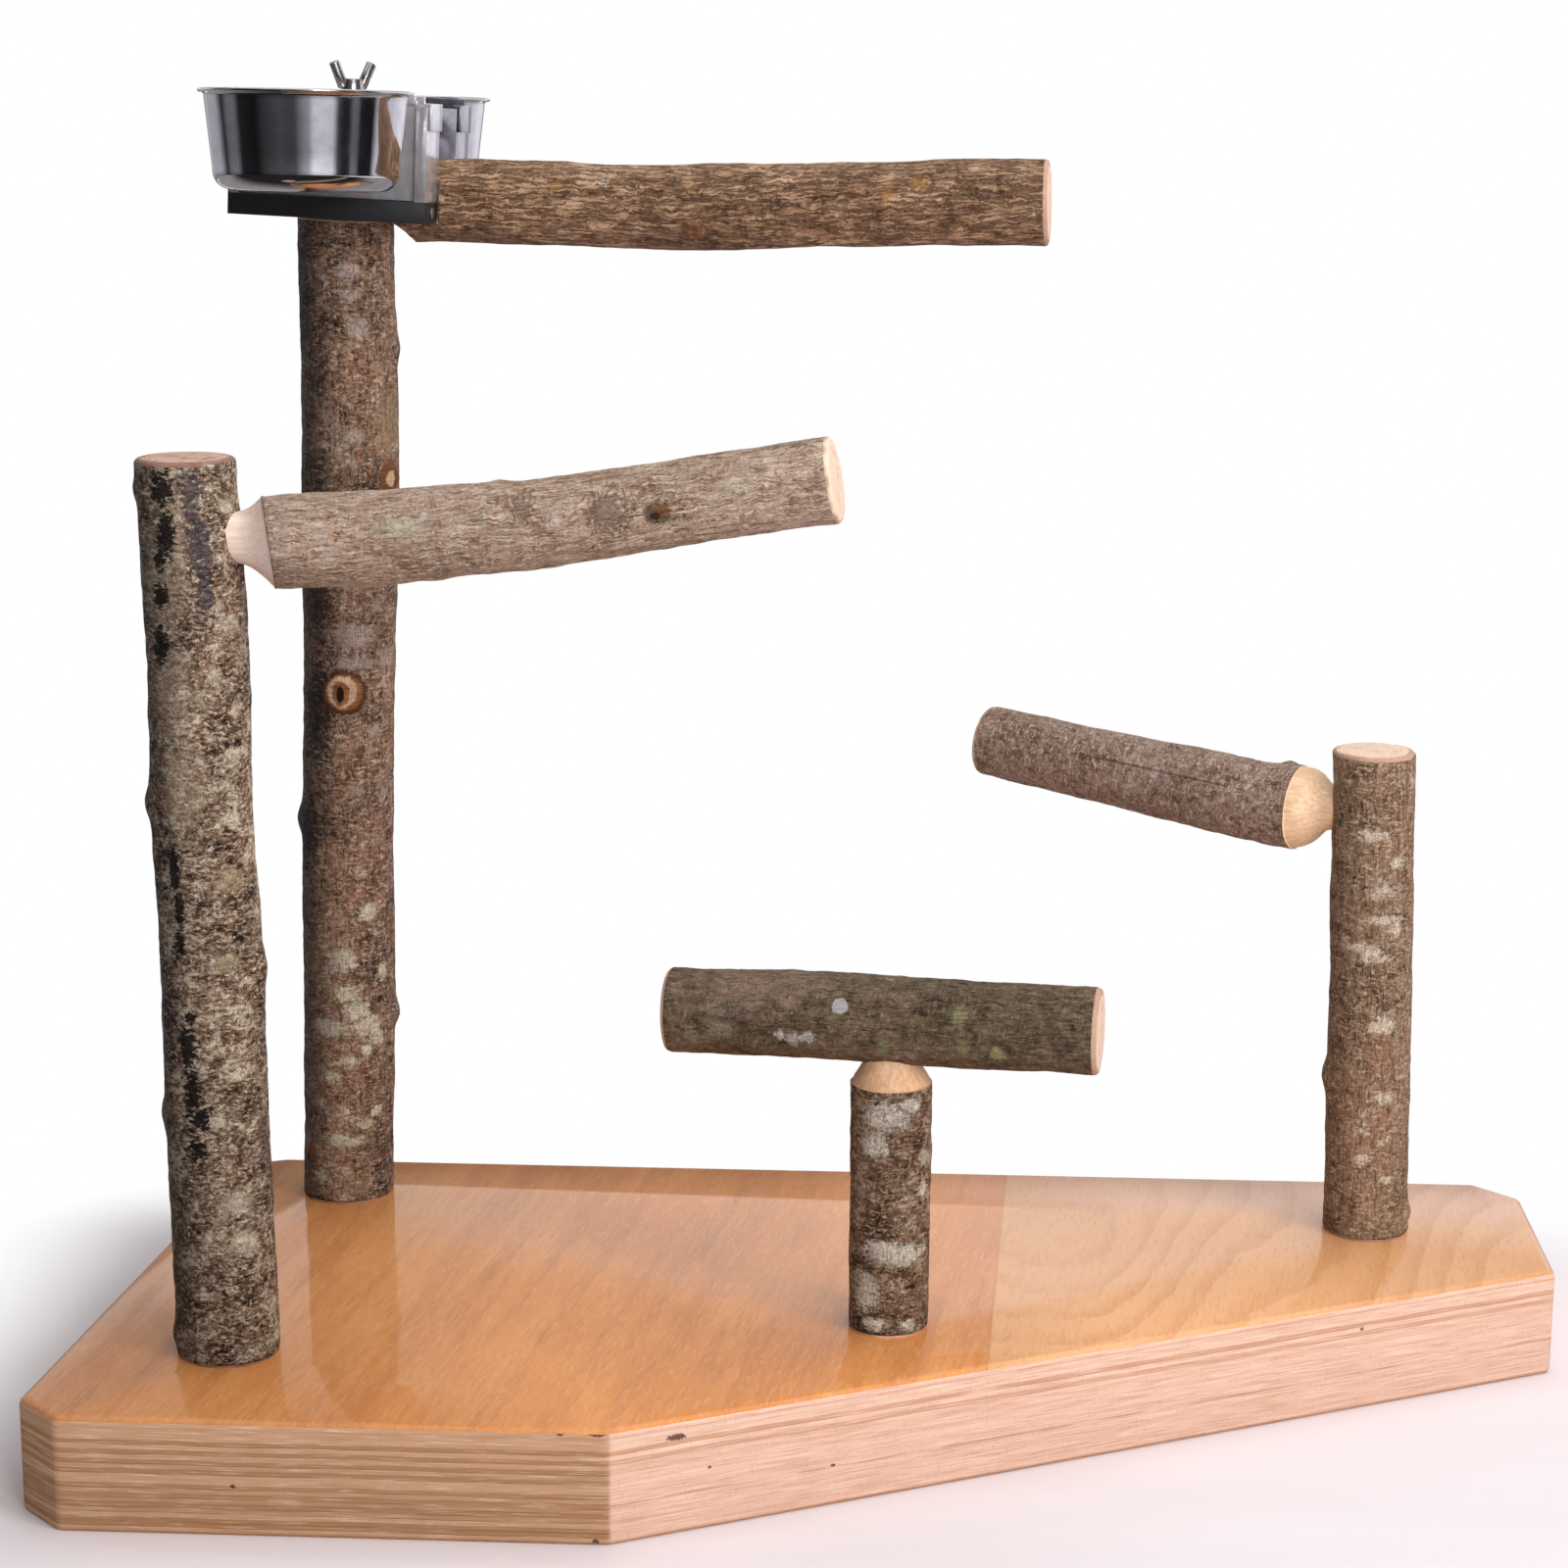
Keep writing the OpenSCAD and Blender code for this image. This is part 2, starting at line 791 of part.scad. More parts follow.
module bowl(side) {
    face = bracket_face + slip;
    turn = (side == "front" ? 1 : -1)*(holder_lean - bowl_lean);
    holder_side(side)
        color(steel)
            difference() {
                translate([-bowl_shift, bracket_face + bowl_reach, rim_height])
                    rotate([0, turn, 0])
                        translate([0, 0, -bowl_height])
                            rotate_extrude($fn = 96)
                                polygon(bowl_section());
                translate([-2*rim_r, face - rim_r, rim_height - over - bowl_height])
                    cube([4*rim_r, rim_r, bowl_height + 2*over]);
            }
}

module front_bowl() {
    bowl("front");
}

module rear_bowl() {
    bowl("rear");
}

// Flat plate behind a bowl, which drops behind the bracket's lips, with an ear at
// each end that hooks over the side wall
module bowl_plate(side) {
    half = bracket_width/2;
    plate_y = bracket_face - sheet - slip - plate_sheet;
    plate_half = half - sheet - slip;
    holder_side(side)
        color(steel) {
            translate([-plate_half, plate_y, plate_low_z])
                cube([2*plate_half, plate_sheet, rim_height - plate_low_z]);
            // Web that carries the bowl between the lips
            translate([lip + slip - half, plate_y + plate_sheet - over/2, panel_top_z + slip])
                cube([bracket_width - 2*(lip + slip), sheet + 2*slip + over/2, rim_height - panel_top_z - slip]);
            for (hand = [0, 1])
                mirror([hand, 0, 0]) {
                    translate([plate_half - over, bracket_face - ear_length, panel_top_z + slip])
                        cube([half - plate_half + over + slip + plate_sheet, ear_length - sheet - slip, plate_sheet]);
                    translate([half + slip, bracket_face - ear_length, panel_top_z + slip + plate_sheet - ear_drop])
                        cube([plate_sheet, ear_length - sheet - slip, ear_drop]);
                }
        }
}

module front_bowl_plate() {
    bowl_plate("front");
}

module rear_bowl_plate() {
    bowl_plate("rear");
}

// --- assembly -------------------------------------------------------------------

base_board();
tall_post();
left_post();
right_post();
short_post();
top_perch();
left_perch();
right_perch();
tee_perch();
post_bolts();
post_washers();
perch_screws();
threaded_rod();
perch_washer();
perch_nut();
front_bracket();
rear_bracket();
front_rail();
rear_rail();
rail_screws();
holder_bridge();
bridge_rivets();
rod_washer();
wing_nut();
front_bowl();
front_bowl_plate();
rear_bowl();
rear_bowl_plate();
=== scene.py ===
# %% [markdown]
# # A play stand for parrots
# Four branch posts stand on a thick plywood board and carry four perches, and a holder on the tall
# post carries two steel bowls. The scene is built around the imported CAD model, which is loaded first
# as a fixed frame. Each step below dresses one piece or one finish of it.

# %% Load the frame
import math

import bmesh
import bpy
import numpy as np
from mathutils import Matrix, Vector, noise


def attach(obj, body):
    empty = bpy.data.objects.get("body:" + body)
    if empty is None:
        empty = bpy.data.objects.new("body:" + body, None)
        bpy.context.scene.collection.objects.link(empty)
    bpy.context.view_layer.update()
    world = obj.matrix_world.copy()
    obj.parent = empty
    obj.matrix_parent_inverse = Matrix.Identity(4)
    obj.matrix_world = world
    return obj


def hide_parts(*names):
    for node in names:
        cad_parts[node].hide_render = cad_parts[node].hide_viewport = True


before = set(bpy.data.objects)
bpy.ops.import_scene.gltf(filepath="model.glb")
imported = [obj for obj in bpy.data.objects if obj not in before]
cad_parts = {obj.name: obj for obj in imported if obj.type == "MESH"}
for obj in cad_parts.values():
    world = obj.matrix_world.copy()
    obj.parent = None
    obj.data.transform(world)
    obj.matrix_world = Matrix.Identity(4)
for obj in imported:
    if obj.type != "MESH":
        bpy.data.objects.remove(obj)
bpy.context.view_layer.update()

# %% [markdown]
# ## Units and small helpers
# Blender works in metres, and this stand is easier to think of in millimetres, so sizes are
# written in millimetres and turned into metres where a point is made. Every operator of Blender
# acts on what is selected, so a step starts by deselecting everything.

# %% Units and selection
MM = 0.001


def point(x, y, z):
    """A place given in millimetres, as a vector in metres."""
    return Vector((x, y, z)) * MM


def deselect():
    """Leaves edit mode and deselects everything."""
    if bpy.context.object and bpy.context.object.mode != "OBJECT":
        bpy.ops.object.mode_set(mode="OBJECT")
    bpy.ops.object.select_all(action="DESELECT")


def take(obj):
    """Makes one object the selected and active one."""
    deselect()
    obj.select_set(True)
    bpy.context.view_layer.objects.active = obj


def named(name):
    """Gives the object that was just added its name and applies its place, turn and scale."""
    obj = bpy.context.object
    if obj.mode != "OBJECT":
        bpy.ops.object.mode_set(mode="OBJECT")
    obj.name = name
    obj.data.name = name
    bpy.ops.object.transform_apply(location=True, rotation=True, scale=True)
    return obj


print("1 mm is", MM, "m")

# %% [markdown]
# In edit mode, operators act on the selected vertices, edges or faces. By hand they are clicked. In a
# script they are found by their place, so they are found again when a size is changed.


# %% Edges and modifiers
def select_edges(obj, wanted):
    """In edit mode, selects just the edges for which wanted(edge) is true."""
    bpy.ops.mesh.select_mode(type="EDGE")
    bpy.ops.mesh.select_all(action="DESELECT")
    mesh = bmesh.from_edit_mesh(obj.data)
    for edge in mesh.edges:
        edge.select = wanted(edge)
    mesh.select_flush_mode()
    bmesh.update_edit_mesh(obj.data)


def edge_middle(edge):
    """The middle of an edge."""
    return (edge.verts[0].co + edge.verts[1].co) / 2


def add_modifier(obj, kind, **settings):
    """Adds a modifier with the given settings and applies it at once."""
    take(obj)
    modifier = obj.modifiers.new(kind.title(), kind)
    for name, value in settings.items():
        setattr(modifier, name, value)
    bpy.ops.object.modifier_apply(modifier=modifier.name)


def smooth(obj, angle):
    """Shades a piece smooth, and keeps the edges that are sharper than an angle in degrees."""
    take(obj)
    bpy.ops.object.shade_smooth_by_angle(angle=math.radians(angle))
    deselect()


def hand_over(obj, body, slot, *nodes):
    """Ties a piece to its body in the frame and hides the CAD nodes it stands for; slot is not used."""
    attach(obj, body)
    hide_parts(*nodes)
    print(f"{obj.name}: {len(obj.data.vertices)} vertices, {len(obj.data.polygons)} faces, on {body}")


# %% [markdown]
# ## Camera
# A camera is an object too. Its focal length sets how wide it looks, and its turn is made of three
# simple turns: how far it looks down, a slight roll, and how far it looks to the side. A long lens
# from well away keeps the posts nearly parallel.

# %% Camera
CAMERA_PLACE = (48.5, -1404.0, 595.25)
CAMERA_LOOKS_DOWN = math.radians(12.565)
CAMERA_ROLL = math.radians(0.275)
CAMERA_YAW = math.radians(2.88)
CAMERA_LENS = 76.147
CAMERA_SENSOR = 36.0

camera_turn = (
    Matrix.Rotation(CAMERA_YAW, 4, "Z")
    @ Matrix.Rotation(math.pi / 2 - CAMERA_LOOKS_DOWN, 4, "X")
    @ Matrix.Rotation(CAMERA_ROLL, 4, "Z")
)
deselect()
bpy.ops.object.camera_add(location=point(*CAMERA_PLACE), rotation=camera_turn.to_euler())
camera = bpy.context.object
camera.name = "camera"
camera.data.lens = CAMERA_LENS
camera.data.sensor_width = CAMERA_SENSOR
bpy.context.scene.camera = camera
print("camera at", tuple(round(value, 3) for value in camera.location))

# %% [markdown]
# ## Shader helpers
# A material is a tree of nodes. By hand they are placed and wired in the shader editor. These helpers
# do the same, so that the trees further down read like a list of what they do.


# %% Nodes, numbers and colours
def paint(code):
    """An sRGB colour code such as d9a27c, as the linear colour that a socket takes."""
    parts = [int(code[i:i + 2], 16) / 255 for i in (0, 2, 4)]
    linear = [part / 12.92 if part <= 0.04045 else ((part + 0.055) / 1.055) ** 2.4 for part in parts]
    return (*linear, 1.0)


def plug(tree, socket, value):
    """Links a socket to another node's output, or sets its value. Text is a colour code."""
    if isinstance(value, bpy.types.NodeSocket):
        tree.links.new(value, socket)
    else:
        socket.default_value = paint(value) if isinstance(value, str) else value


def place_node(tree, kind, inputs, **settings):
    """A shader node with its settings made and its inputs plugged in."""
    node = tree.nodes.new("ShaderNode" + kind)
    for name, value in settings.items():
        setattr(node, name, value)
    for name, value in inputs.items():
        plug(tree, node.inputs[name], value)
    return node


def maths(tree, operation, first, second=0.0, third=0.0):
    """One sum, product or other operation on numbers."""
    return place_node(tree, "Math", {0: first, 1: second, 2: third}, operation=operation).outputs[0]


def times(tree, first, second):
    """Two numbers multiplied."""
    return maths(tree, "MULTIPLY", first, second)


def times_plus(tree, first, second, third):
    """Two numbers multiplied, and a third added."""
    return maths(tree, "MULTIPLY_ADD", first, second, third)


def minus(tree, first, second):
    """One number less another."""
    return maths(tree, "SUBTRACT", first, second)


def larger(tree, first, second):
    """The larger of two numbers."""
    return maths(tree, "MAXIMUM", first, second)


def parts_of(tree, place):
    """The X, Y and Z of a place."""
    return place_node(tree, "SeparateXYZ", {0: place}).outputs


def vectors(tree, operation, first, second=(0.0, 0.0, 0.0)):
    """One operation on vectors."""
    return place_node(tree, "VectorMath", {0: first, 1: second}, operation=operation).outputs[0]


def mix(tree, factor, first, second, blend="MIX"):
    """Two colours mixed by a factor from 0 to 1."""
    inputs = {0: factor, 6: first, 7: second}
    return place_node(tree, "Mix", inputs, data_type="RGBA", blend_type=blend).outputs[2]


def grey(tree, value):
    """A number as a grey colour."""
    return place_node(tree, "CombineColor", {0: value, 1: value, 2: value}).outputs[0]


def darken(tree, colour, shade):
    """A colour multiplied by a grey: 1 leaves it as it is and 0 makes it black."""
    return mix(tree, 1.0, colour, grey(tree, shade), "MULTIPLY")


print("paint gives linear colours: 808080 is", round(paint("808080")[0], 3))

# %% [markdown]
# Most patterns come from two steps: a soft noise, and a range of it that is carried to 0 and 1. A
# wide range gives clouds, a narrow one gives islands with an edge. Scaling the place before the noise
# draws the clouds out into grain.


# %% Noise and ranges
def remap(tree, value, low, high, to_low=0.0, to_high=1.0):
    """A value carried smoothly from one range to another and held at its ends."""
    inputs = {"Value": value, "From Min": low, "From Max": high, "To Min": to_low, "To Max": to_high}
    return place_node(tree, "MapRange", inputs, interpolation_type="SMOOTHSTEP").outputs[0]


def cloud(tree, place, scale, detail=4.0, rough=0.55, distort=0.0):
    """Soft noise from 0 to 1; scale is in blotches a metre."""
    inputs = {"Vector": place, "Scale": scale, "Detail": detail, "Roughness": rough, "Distortion": distort}
    return place_node(tree, "TexNoise", inputs).outputs[0]


def stretched(tree, place, level, upright):
    """A place scaled by one number in X and Y and another in Z. A small number draws a pattern out."""
    return vectors(tree, "MULTIPLY", place, (level, level, upright))


def object_place(tree):
    """The place on the object, in metres, in the shared frame."""
    return tree.nodes.new("ShaderNodeTexCoord").outputs["Object"]


def branch_place(tree):
    """The place on a branch as if it were straight: across, across, along."""
    return place_node(tree, "Attribute", {}, attribute_name="straight_place").outputs["Vector"]


print("places: the object's own, and straight_place on the branches")

# %% [markdown]
# A node group keeps a recipe that several materials need. Only colours, masks and numbers come out of
# it. The Principled shader stays in each material, where values that don't change are set straight on
# its sockets.


# %% Groups and materials
def new_group(name, inputs, outputs):
    """An empty node group. Each input is a name with its start value; each output a name and kind."""
    tree = bpy.data.node_groups.new(name, "ShaderNodeTree")
    for label, start in inputs.items():
        kind = "Float"
        if isinstance(start, tuple):
            kind = "Color" if len(start) == 4 else "Vector"
        socket = tree.interface.new_socket(name=label, in_out="INPUT", socket_type="NodeSocket" + kind)
        socket.default_value = start
    for label, kind in outputs.items():
        tree.interface.new_socket(name=label, in_out="OUTPUT", socket_type="NodeSocket" + kind)
    return tree, tree.nodes.new("NodeGroupInput").outputs, tree.nodes.new("NodeGroupOutput").inputs


def use_group(tree, group, inputs):
    """Places a node group in a tree and plugs in its inputs."""
    node = tree.nodes.new("ShaderNodeGroup")
    node.node_tree = group
    for name, value in inputs.items():
        plug(tree, node.inputs[name], value)
    return node.outputs


def new_material(name, **fixed):
    """A material with its Principled shader. Values that don't change go straight on the sockets."""
    material = bpy.data.materials.new(name)
    material.use_nodes = True
    tree = material.node_tree
    shader = tree.nodes["Principled BSDF"]
    for socket, value in fixed.items():
        shader.inputs[socket.replace("_", " ")].default_value = value
    return material, tree, shader


def surface(tree, shader, colour, rough, height, depth):
    """Gives a shader its colour, its roughness and a bump that looks as deep as depth, in metres."""
    plug(tree, shader.inputs["Base Color"], colour)
    plug(tree, shader.inputs["Roughness"], rough)
    bump = place_node(tree, "Bump", {"Height": height, "Distance": depth, "Strength": 1.0})
    plug(tree, shader.inputs["Normal"], bump.outputs[0])


print("groups and materials can be made")

# %% [markdown]
# ## Bark
# The branches keep their bark, so that birds can grip and gnaw it. Such bark is layered: a brown
# skin, dry pale crust, specks, cork pores and cracks. It could be painted by hand as a picture. Here
# it is built of noise patterns, so it has no seam and is as fine near by as far off. A node group is
# a recipe with inputs of its own. It is built once, and each branch then places it with its own
# colours and strengths.

# %% Bark recipe: inputs
BARK_INPUTS = {
    "Place": (0.0, 0.0, 0.0),
    "Seed": (0.0, 0.0, 0.0),
    "Dark": paint("2d1d15"),
    "Middle": paint("725343"),
    "Light": paint("a58370"),
    "Crust": paint("c6a58d"),
    "Tint": paint("6d5756"),
    "Grain Size": 300.0,
    "Soft": 0.036,
    "Level Stretch": 2.2,
    "Crust Cover": 0.45,
    "Worms": 0.6,
    "Pores": 0.5,
    "Specks": 0.6,
    "Cracks": 0.6,
    "Crack Stretch": 0.06,
    "Ring Cracks": 0.9,
    "Grooves": 0.0,
    "Fibres And Sheen": 0.0,
}
bark_recipe, given, out = new_group(
    "bark recipe", BARK_INPUTS,
    {"Color": "Color", "Height": "Float", "Tone": "Float", "Detail": "Float", "Crumbs": "Float"},
)
tree = bark_recipe
print("the bark recipe takes", len(BARK_INPUTS), "inputs")

# %% [markdown]
# Nothing in bark runs quite straight, so the place is first pushed about by a few millimetres of slow
# noise. Four noises of different size then serve all the layers: broad tones, patches, the close
# grain and dust. Grain that is squeezed along the branch looks as if it ran round it.

# %% Bark recipe: noises
WANDER, WANDER_SIZE = 0.004, 160.0
BROAD_SIZE, PATCH_SIZE, DUST_SIZE = 36.0, 95.0, 1300.0

moved = vectors(tree, "ADD", given["Place"], given["Seed"])
wander = place_node(tree, "TexNoise", {"Vector": moved, "Scale": WANDER_SIZE, "Detail": 2.0}).outputs["Color"]
wander = stretched(tree, vectors(tree, "SUBTRACT", wander, (0.5, 0.5, 0.5)), WANDER, WANDER)
warped = vectors(tree, "ADD", moved, wander)
squeeze = place_node(tree, "CombineXYZ", {0: 1.0, 1: 1.0, 2: given["Level Stretch"]}).outputs[0]
broad = cloud(tree, stretched(tree, moved, 1.0, 0.5), BROAD_SIZE, 5.0, 0.6)
patchy = cloud(tree, stretched(tree, warped, 1.0, 1.5), PATCH_SIZE, 5.0, 0.65)
close = cloud(tree, vectors(tree, "MULTIPLY", warped, squeeze), given["Grain Size"], 6.0, 0.75)
dust = cloud(tree, moved, DUST_SIZE, 3.0, 0.7)
print("noises:", len(tree.nodes), "nodes")

# %% [markdown]
# The skin goes from dark through a middle brown to light. The value that picks the tone is mostly the
# close grain, with some of the patches and the broad noise in it. How soft the steps between the
# tones are is an input, because young bark is smoother in tone than old bark.

# %% Bark recipe: brown skin
TONE_MIDDLE = 0.46

tone = times_plus(tree, close, 0.48, times(tree, patchy, 0.31))
tone = times_plus(tree, broad, 0.21, tone)
middle = mix(tree, remap(tree, broad, 0.40, 0.62), given["Tint"], given["Middle"])
all_dark = minus(tree, TONE_MIDDLE, given["Soft"])
all_middle = maths(tree, "ADD", TONE_MIDDLE, given["Soft"])
all_light = times_plus(tree, given["Soft"], 2.0, all_middle)
colour = mix(tree, remap(tree, tone, all_dark, all_middle), given["Dark"], middle)
colour = mix(tree, remap(tree, tone, all_middle, all_light), colour, given["Light"])
print("skin:", len(tree.nodes), "nodes")

# %% [markdown]
# Old bark dries to a pale crust in ragged plates, which are broken by pits. Between them lie crumbs
# and dark holes of a millimetre or two. A noise becomes such an island when only its highest part is
# kept, and the narrower the range that is kept, the harder the island's edge.

# %% Bark recipe: crust and specks
CRUMB_SIZE = 520.0

plates = times_plus(tree, close, 0.45, times(tree, patchy, 0.55))
plates = times_plus(tree, minus(tree, broad, 0.5), 0.25, plates)
plate_low = times_plus(tree, given["Crust Cover"], -0.3, 0.68)
plate_high = maths(tree, "ADD", plate_low, 0.03)
pits = remap(tree, dust, 0.40, 0.52)
crust = times(tree, remap(tree, plates, plate_low, plate_high), times_plus(tree, pits, 0.6, 0.35))
colour = mix(tree, crust, colour, given["Crust"])
crumbs = cloud(tree, stretched(tree, warped, 0.8, 1.5), CRUMB_SIZE, 4.0, 0.7)
pale_specks = times(tree, remap(tree, crumbs, 0.555, 0.60), given["Specks"])
dark_specks = times(tree, remap(tree, crumbs, 0.40, 0.445, 1.0, 0.0), given["Specks"])
colour = mix(tree, pale_specks, colour, given["Crust"])
colour = mix(tree, dark_specks, colour, given["Dark"])
print("crust and specks:", len(tree.nodes), "nodes")

# %% [markdown]
# Thin pale lines wander over bark where larvae or lichen threads have been. They are the places where
# a noise passes through its middle value. Cork pores are short pale dashes that lie round the branch,
# from a noise that is drawn out across it.

# %% Bark recipe: worm lines and cork pores
WORM_SIZE, PORE_SIZE = 430.0, 780.0

ridge = cloud(tree, stretched(tree, warped, 1.0, 1.7), WORM_SIZE, 2.0, 0.55, 0.5)
ridge = maths(tree, "ABSOLUTE", minus(tree, ridge, 0.5))
worms = times(tree, remap(tree, ridge, 0.0, 0.035, 1.0, 0.0), remap(tree, patchy, 0.44, 0.54))
worms = times(tree, worms, given["Worms"])
colour = mix(tree, worms, colour, given["Crust"])
dashes = cloud(tree, stretched(tree, warped, 0.33, 1.1), PORE_SIZE, 3.0, 0.6)
dashes = times(tree, remap(tree, dashes, 0.57, 0.63), given["Pores"])
colour = mix(tree, dashes, colour, given["Crust"])
print("worm lines and pores:", len(tree.nodes), "nodes")

# %% [markdown]
# As a branch thickens, its bark splits: thin cracks run along it and shorter ones round it, and on
# some kinds long wavy grooves form. Smooth bark has fine pale fibres instead; their paleness is partly
# their own tone and partly painted sheen, where they would catch the light.

# %% Bark recipe: cracks, grooves and fibres
CRACK_SIZE, RING_CRACK_SIZE, GROOVE_SIZE, FIBRE_SIZE = 1300.0, 900.0, 780.0, 1500.0
BLACK = (0.0, 0.0, 0.0, 1.0)

draw_out = place_node(tree, "CombineXYZ", {0: 1.0, 1: 1.0, 2: given["Crack Stretch"]}).outputs[0]
long_cracks = cloud(tree, vectors(tree, "MULTIPLY", warped, draw_out), CRACK_SIZE, 2.0, 0.5)
long_cracks = remap(tree, long_cracks, 0.36, 0.46, 1.0, 0.0)
ring_cracks = cloud(tree, stretched(tree, warped, 0.25, 1.0), RING_CRACK_SIZE, 2.0, 0.5)
ring_cracks = times(tree, remap(tree, ring_cracks, 0.33, 0.42, 1.0, 0.0), given["Ring Cracks"])
cracks = times(tree, larger(tree, long_cracks, ring_cracks), given["Cracks"])
colour = mix(tree, cracks, colour, mix(tree, 0.4, given["Dark"], BLACK))
grooves = cloud(tree, stretched(tree, warped, 1.0, 0.10), GROOVE_SIZE, 3.0, 0.6, 0.3)
grooves = times(tree, remap(tree, grooves, 0.42, 0.54, 1.0, 0.0), given["Grooves"])
colour = mix(tree, grooves, colour, given["Dark"])
# Fibres: pale lengthwise lines, partly their own tone and partly painted sheen
fibres = cloud(tree, stretched(tree, warped, 1.0, 0.045), FIBRE_SIZE, 2.0, 0.6)
fibres = times(tree, remap(tree, fibres, 0.50, 0.64), given["Fibres And Sheen"])
colour = mix(tree, fibres, colour, given["Crust"])
print("cracks, grooves and fibres:", len(tree.nodes), "nodes")

# %% [markdown]
# The recipe also puts out a height for the bump, with the crust, specks and fibres raised and the
# cracks and grooves sunk. Its detail says how light or dark the texture makes whatever grows on it,
# so that a lichen or a stain shows the bark below it.

# %% Bark recipe: height and outputs
detail = times_plus(tree, dust, 0.5, times(tree, close, 0.5))
detail = remap(tree, detail, 0.42, 0.56, 0.55, 1.06)
detail = times(tree, detail, times_plus(tree, cracks, -0.55, 1.0))
detail = times(tree, detail, times_plus(tree, dark_specks, -0.6, 1.0))
height = times_plus(tree, crust, 0.35, times(tree, close, 0.9))
for layer, rise in ((worms, 0.3), (pale_specks, 0.25), (dark_specks, -0.25), (cracks, -0.5), (dust, 0.3),
                    (grooves, -1.0), (fibres, 0.3)):
    height = times_plus(tree, layer, rise, height)
for name, value in (("Color", colour), ("Height", height), ("Tone", tone), ("Detail", detail),
                    ("Crumbs", crumbs)):
    plug(tree, out[name], value)
print("bark recipe:", len(tree.nodes), "nodes")

# %% [markdown]
# Lichen grows in crusty patches all over a branch. One noise gives them, cut off high: the more cover
# is asked for, the lower the cut.

# %% Lichen recipe
lichen_recipe, given, out = new_group(
    "lichen recipe",
    {"Place": (0.0, 0.0, 0.0), "Seed": (0.0, 0.0, 0.0), "Size": 60.0, "Cover": 0.5},
    {"Mask": "Float"},
)
LICHEN_EDGE = 0.035

tree = lichen_recipe
moved = vectors(tree, "ADD", given["Place"], given["Seed"])
patches = cloud(tree, stretched(tree, moved, 1.0, 1.5), given["Size"], 7.0, 0.68)
cut_off = minus(tree, 0.80, times(tree, given["Cover"], 0.40))
plug(tree, out["Mask"], remap(tree, patches, cut_off, maths(tree, "ADD", cut_off, LICHEN_EDGE)))
print("lichen recipe:", len(tree.nodes), "nodes")

# %% [markdown]
# Some marks sit at one place only: a knot, a white blotch, a black streak. Their mask is how near a
# place is to the mark's centre, counted in the mark's own half sizes. A noise from the bark is added
# to that distance, which frays the edge.

# %% Mark recipe
mark_recipe, given, out = new_group(
    "mark recipe",
    {"Place": (0.0, 0.0, 0.0), "Ragged": 0.5, "Centre": (0.0, 0.0, 0.0), "Reach": (0.01, 0.01, 0.01)},
    {"Mask": "Float"},
)
FRAYING = 7.0

tree = mark_recipe
offset = vectors(tree, "SUBTRACT", given["Place"], given["Centre"])
offset = vectors(tree, "DIVIDE", offset, given["Reach"])
distance = place_node(tree, "VectorMath", {0: offset}, operation="LENGTH").outputs["Value"]
distance = times_plus(tree, minus(tree, given["Ragged"], 0.5), FRAYING, distance)
plug(tree, out["Mask"], remap(tree, distance, 0.92, 1.12, 1.0, 0.0))
print("mark recipe:", len(tree.nodes), "nodes")

# %% [markdown]
# A sawn branch end shows its growth rings. A ring's number is the distance from the middle divided by
# the width of one ring, and the part after the point tells early wood from the darker late wood. On
# top come the marks of the saw, cloudy stains, the pith, and the brown line just inside the bark.

# %% Growth ring recipe
ring_recipe, given, out = new_group(
    "growth ring recipe",
    {"Place": (0.0, 0.0, 0.0), "Pale": paint("ecd2ae"), "Late": paint("d3a878"), "Radius": 0.02,
     "Ring Width": 0.0016, "Stain": 0.5},
    {"Color": "Color", "Height": "Float"},
)
RING_WAVE, RING_WAVE_SIZE = 0.004, 90.0
SAW_MARK_SIZE, STAIN_SIZE, GRIT_SIZE = 900.0, 140.0, 1500.0

tree = ring_recipe
parts = parts_of(tree, given["Place"])
flat_place = place_node(tree, "CombineXYZ", {0: parts[0], 1: parts[1], 2: 0.0}).outputs[0]
across = place_node(tree, "VectorMath", {0: flat_place}, operation="LENGTH").outputs["Value"]
across = times_plus(tree, cloud(tree, flat_place, RING_WAVE_SIZE, 2.0), RING_WAVE, across)
in_ring = maths(tree, "FRACT", maths(tree, "DIVIDE", across, given["Ring Width"]))
grit = cloud(tree, flat_place, GRIT_SIZE, 2.0)
late = times(tree, remap(tree, in_ring, 0.55, 1.0), remap(tree, grit, 0.3, 0.7, 0.3, 0.9))
colour = mix(tree, late, given["Pale"], given["Late"])
saw_marks = cloud(tree, vectors(tree, "MULTIPLY", flat_place, (1.0, 0.08, 1.0)), SAW_MARK_SIZE, 3.0, 0.6)
colour = mix(tree, remap(tree, saw_marks, 0.50, 0.68, 0.0, 0.45), colour, given["Late"])
stains = remap(tree, cloud(tree, flat_place, STAIN_SIZE, 4.0, 0.6), 0.48, 0.66)
colour = mix(tree, times(tree, stains, given["Stain"]), colour, given["Late"])
pith = remap(tree, across, 0.0012, 0.0034, 0.8, 0.0)
line_starts = minus(tree, given["Radius"], 0.0016)
line_is_full = minus(tree, given["Radius"], 0.0002)
brown_line = remap(tree, across, line_starts, line_is_full, 0.0, 0.75)
brown = mix(tree, 0.45, given["Late"], "4a2814")
colour = mix(tree, larger(tree, pith, brown_line), colour, brown)
plug(tree, out["Color"], colour)
plug(tree, out["Height"], times_plus(tree, late, -0.5, grit))
print("growth ring recipe:", len(tree.nodes), "nodes")

# %% [markdown]
# ## Bark, sawn and peeled wood
# Each branch gets three materials: its bark, the sawn wood of its ends, and the peeled wood of a
# turned neck. The marks that a branch has at known places are given by their distance along it, their
# angle round it and their half sizes, as a carver would note them.


